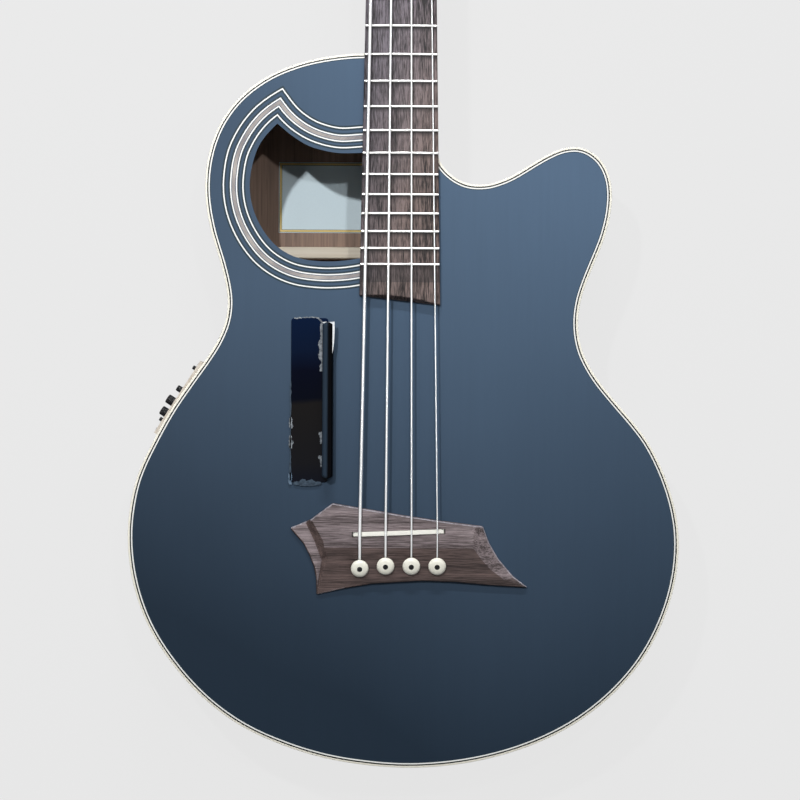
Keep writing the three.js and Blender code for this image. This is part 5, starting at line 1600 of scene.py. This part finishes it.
joints = {joint["name"]: joint for joint in frame["joints"]}
panel_out = Vector(joints["volume_turn"]["axis"])


def on_panel(spot, lift=0.0):
    """A place on the side whose Z points out of the body and whose X points to the tail."""
    columns = (Vector((-panel_out.y, panel_out.x, 0)), Vector((0, 0, 1)), panel_out)
    turn = Matrix([[column[row] for column in columns] for row in range(3)]).to_4x4()
    return Matrix.Translation(Vector(spot) + panel_out * lift) @ turn


def knob(radius, start, height):
    """A ribbed knob on its shaft, with a groove across its face that shows how far it is turned."""
    levels = [(0.5, -control_depth, 0), (0.5, start, 0), (1.0, start, 0), (1.0, start + 0.2, 1),
              (0.98, height - 0.9, 1), (0.95, height - 0.5, 0.6), (0.86, height - 0.1, 0), (0.6, height, 0),
              (0.3, height, 0)]
    rings = []
    for share, level, rib in levels:
        ring = []
        for i in range(knob_steps):
            wave = 0.5 + 0.5 * math.cos(2 * math.pi * i / knob_steps * knob_ribs)
            point = spun(radius * share * (1 - rib * rib_depth * wave), i, knob_steps, level)
            if level > height - groove_depth / 2 and abs(point.y) < groove_half and point.x > 0:
                point.z -= groove_depth
            ring.append(point)
        rings.append(ring)
    return loft(rings)


def carve(piece, cutter):
    """Cuts a shape in millimetres out of a piece."""
    points, faces, _ = cutter
    mesh = bpy.data.meshes.new("cutter")
    mesh.from_pydata([p * MM for p in points], [], faces)
    tool = set_down("cutter", mesh)
    cut = piece.modifiers.new("cut", "BOOLEAN")
    cut.object, cut.operation, cut.solver = tool, "DIFFERENCE", "EXACT"
    piece.data = settled(piece)
    bpy.data.objects.remove(tool)


def box_shape(low, high, place):
    """Eight corners and six faces between two corners, set in a place."""
    points = [place @ Vector(corner) for corner in product(*zip(low, high))]
    faces = [(0, 1, 3, 2), (4, 6, 7, 5), (0, 4, 5, 1), (2, 3, 7, 6), (0, 2, 6, 4), (1, 5, 7, 3)]
    return points, faces, None


for name, (radius, height) in knob_sizes.items():
    place = on_panel(Vector(joints[f"{name}_turn"]["pos_m"]) / MM)
    shape = knob(radius, panel_thickness + knob_gap, panel_thickness + height)
    add_piece(f"{name}_dial", shape, knob_black, (f"{name}_knob",), f"{name}_control", place)
button_top = panel_thickness + button_height
button_profile = [(0, -control_depth), (button_radius, -control_depth),
                  (button_radius, button_top - button_round), (button_radius - 0.15, button_top - 0.15),
                  (button_radius - button_round, button_top), (0, button_top)]
for name in ("tuner", "phase"):
    low, high = box_mm(f"{name}_button")
    place = on_panel((low + high) / 2, (control_depth - button_top) / 2)
    push = turned(button_profile)
    add_piece(f"{name}_push", push, knob_black, (f"{name}_button",), f"{name}_switch", place)
eased_copy("wooden_panel", "preamp_panel", panel_wood, panel_round)
eased_copy("electronics_box", "preamp_box", box_black, box_round)
eased_copy("battery_block", "battery", box_black, battery_round)
panel_low, panel_high = box_mm("preamp_panel")
panel_face = on_panel((panel_low + panel_high) / 2, panel_thickness / 2)
screw_along, screw_up = panel_screw_places
for number, (along, up) in enumerate(product((-screw_along, screw_along), (-screw_up, screw_up)), 1):
    place = panel_face @ Matrix.Translation((along, up, 0))
    add_piece(f"panel_screw_{number}", screw(*panel_screw_size), screw_steel, place=place)
window = Vector(window_half)
carve(bass_wall, box_shape(-window, window, panel_face))


# Jack: a chromed flange with a threaded barrel through the tail block and a nut inside. The rear end
# of the strap hangs on the same flange.
flange_height = 3.5
jack_profile = [
    (0, -36), (3.3, -36), (3.3, 2.9), (3.9, flange_height), (6.9, flange_height), (7.6, 3.1), (8, 2.3),
    (8, 0), (6, 0), (6, -29.9), (8.5, -29.9), (8.5, -33.4), (6, -33.4), (6, -44), (0, -44),
]
socket_low = (-6.3, -8, -6.3)
socket_high = (6.3, 12, 6.3)
jack_low, jack_high = box_mm("endpin_jack")
jack_spot = Matrix.Translation((0, jack_low.y + flange_height, (jack_low.z + jack_high.z) / 2))
jack_place = jack_spot @ Matrix.Rotation(math.pi / 2, 4, "X")
add_piece("strap_jack", turned(jack_profile), chrome, ("endpin_jack",), place=jack_place)
for wall in (bass_wall, treble_wall):
    carve(wall, box_shape(socket_low, socket_high, jack_spot))
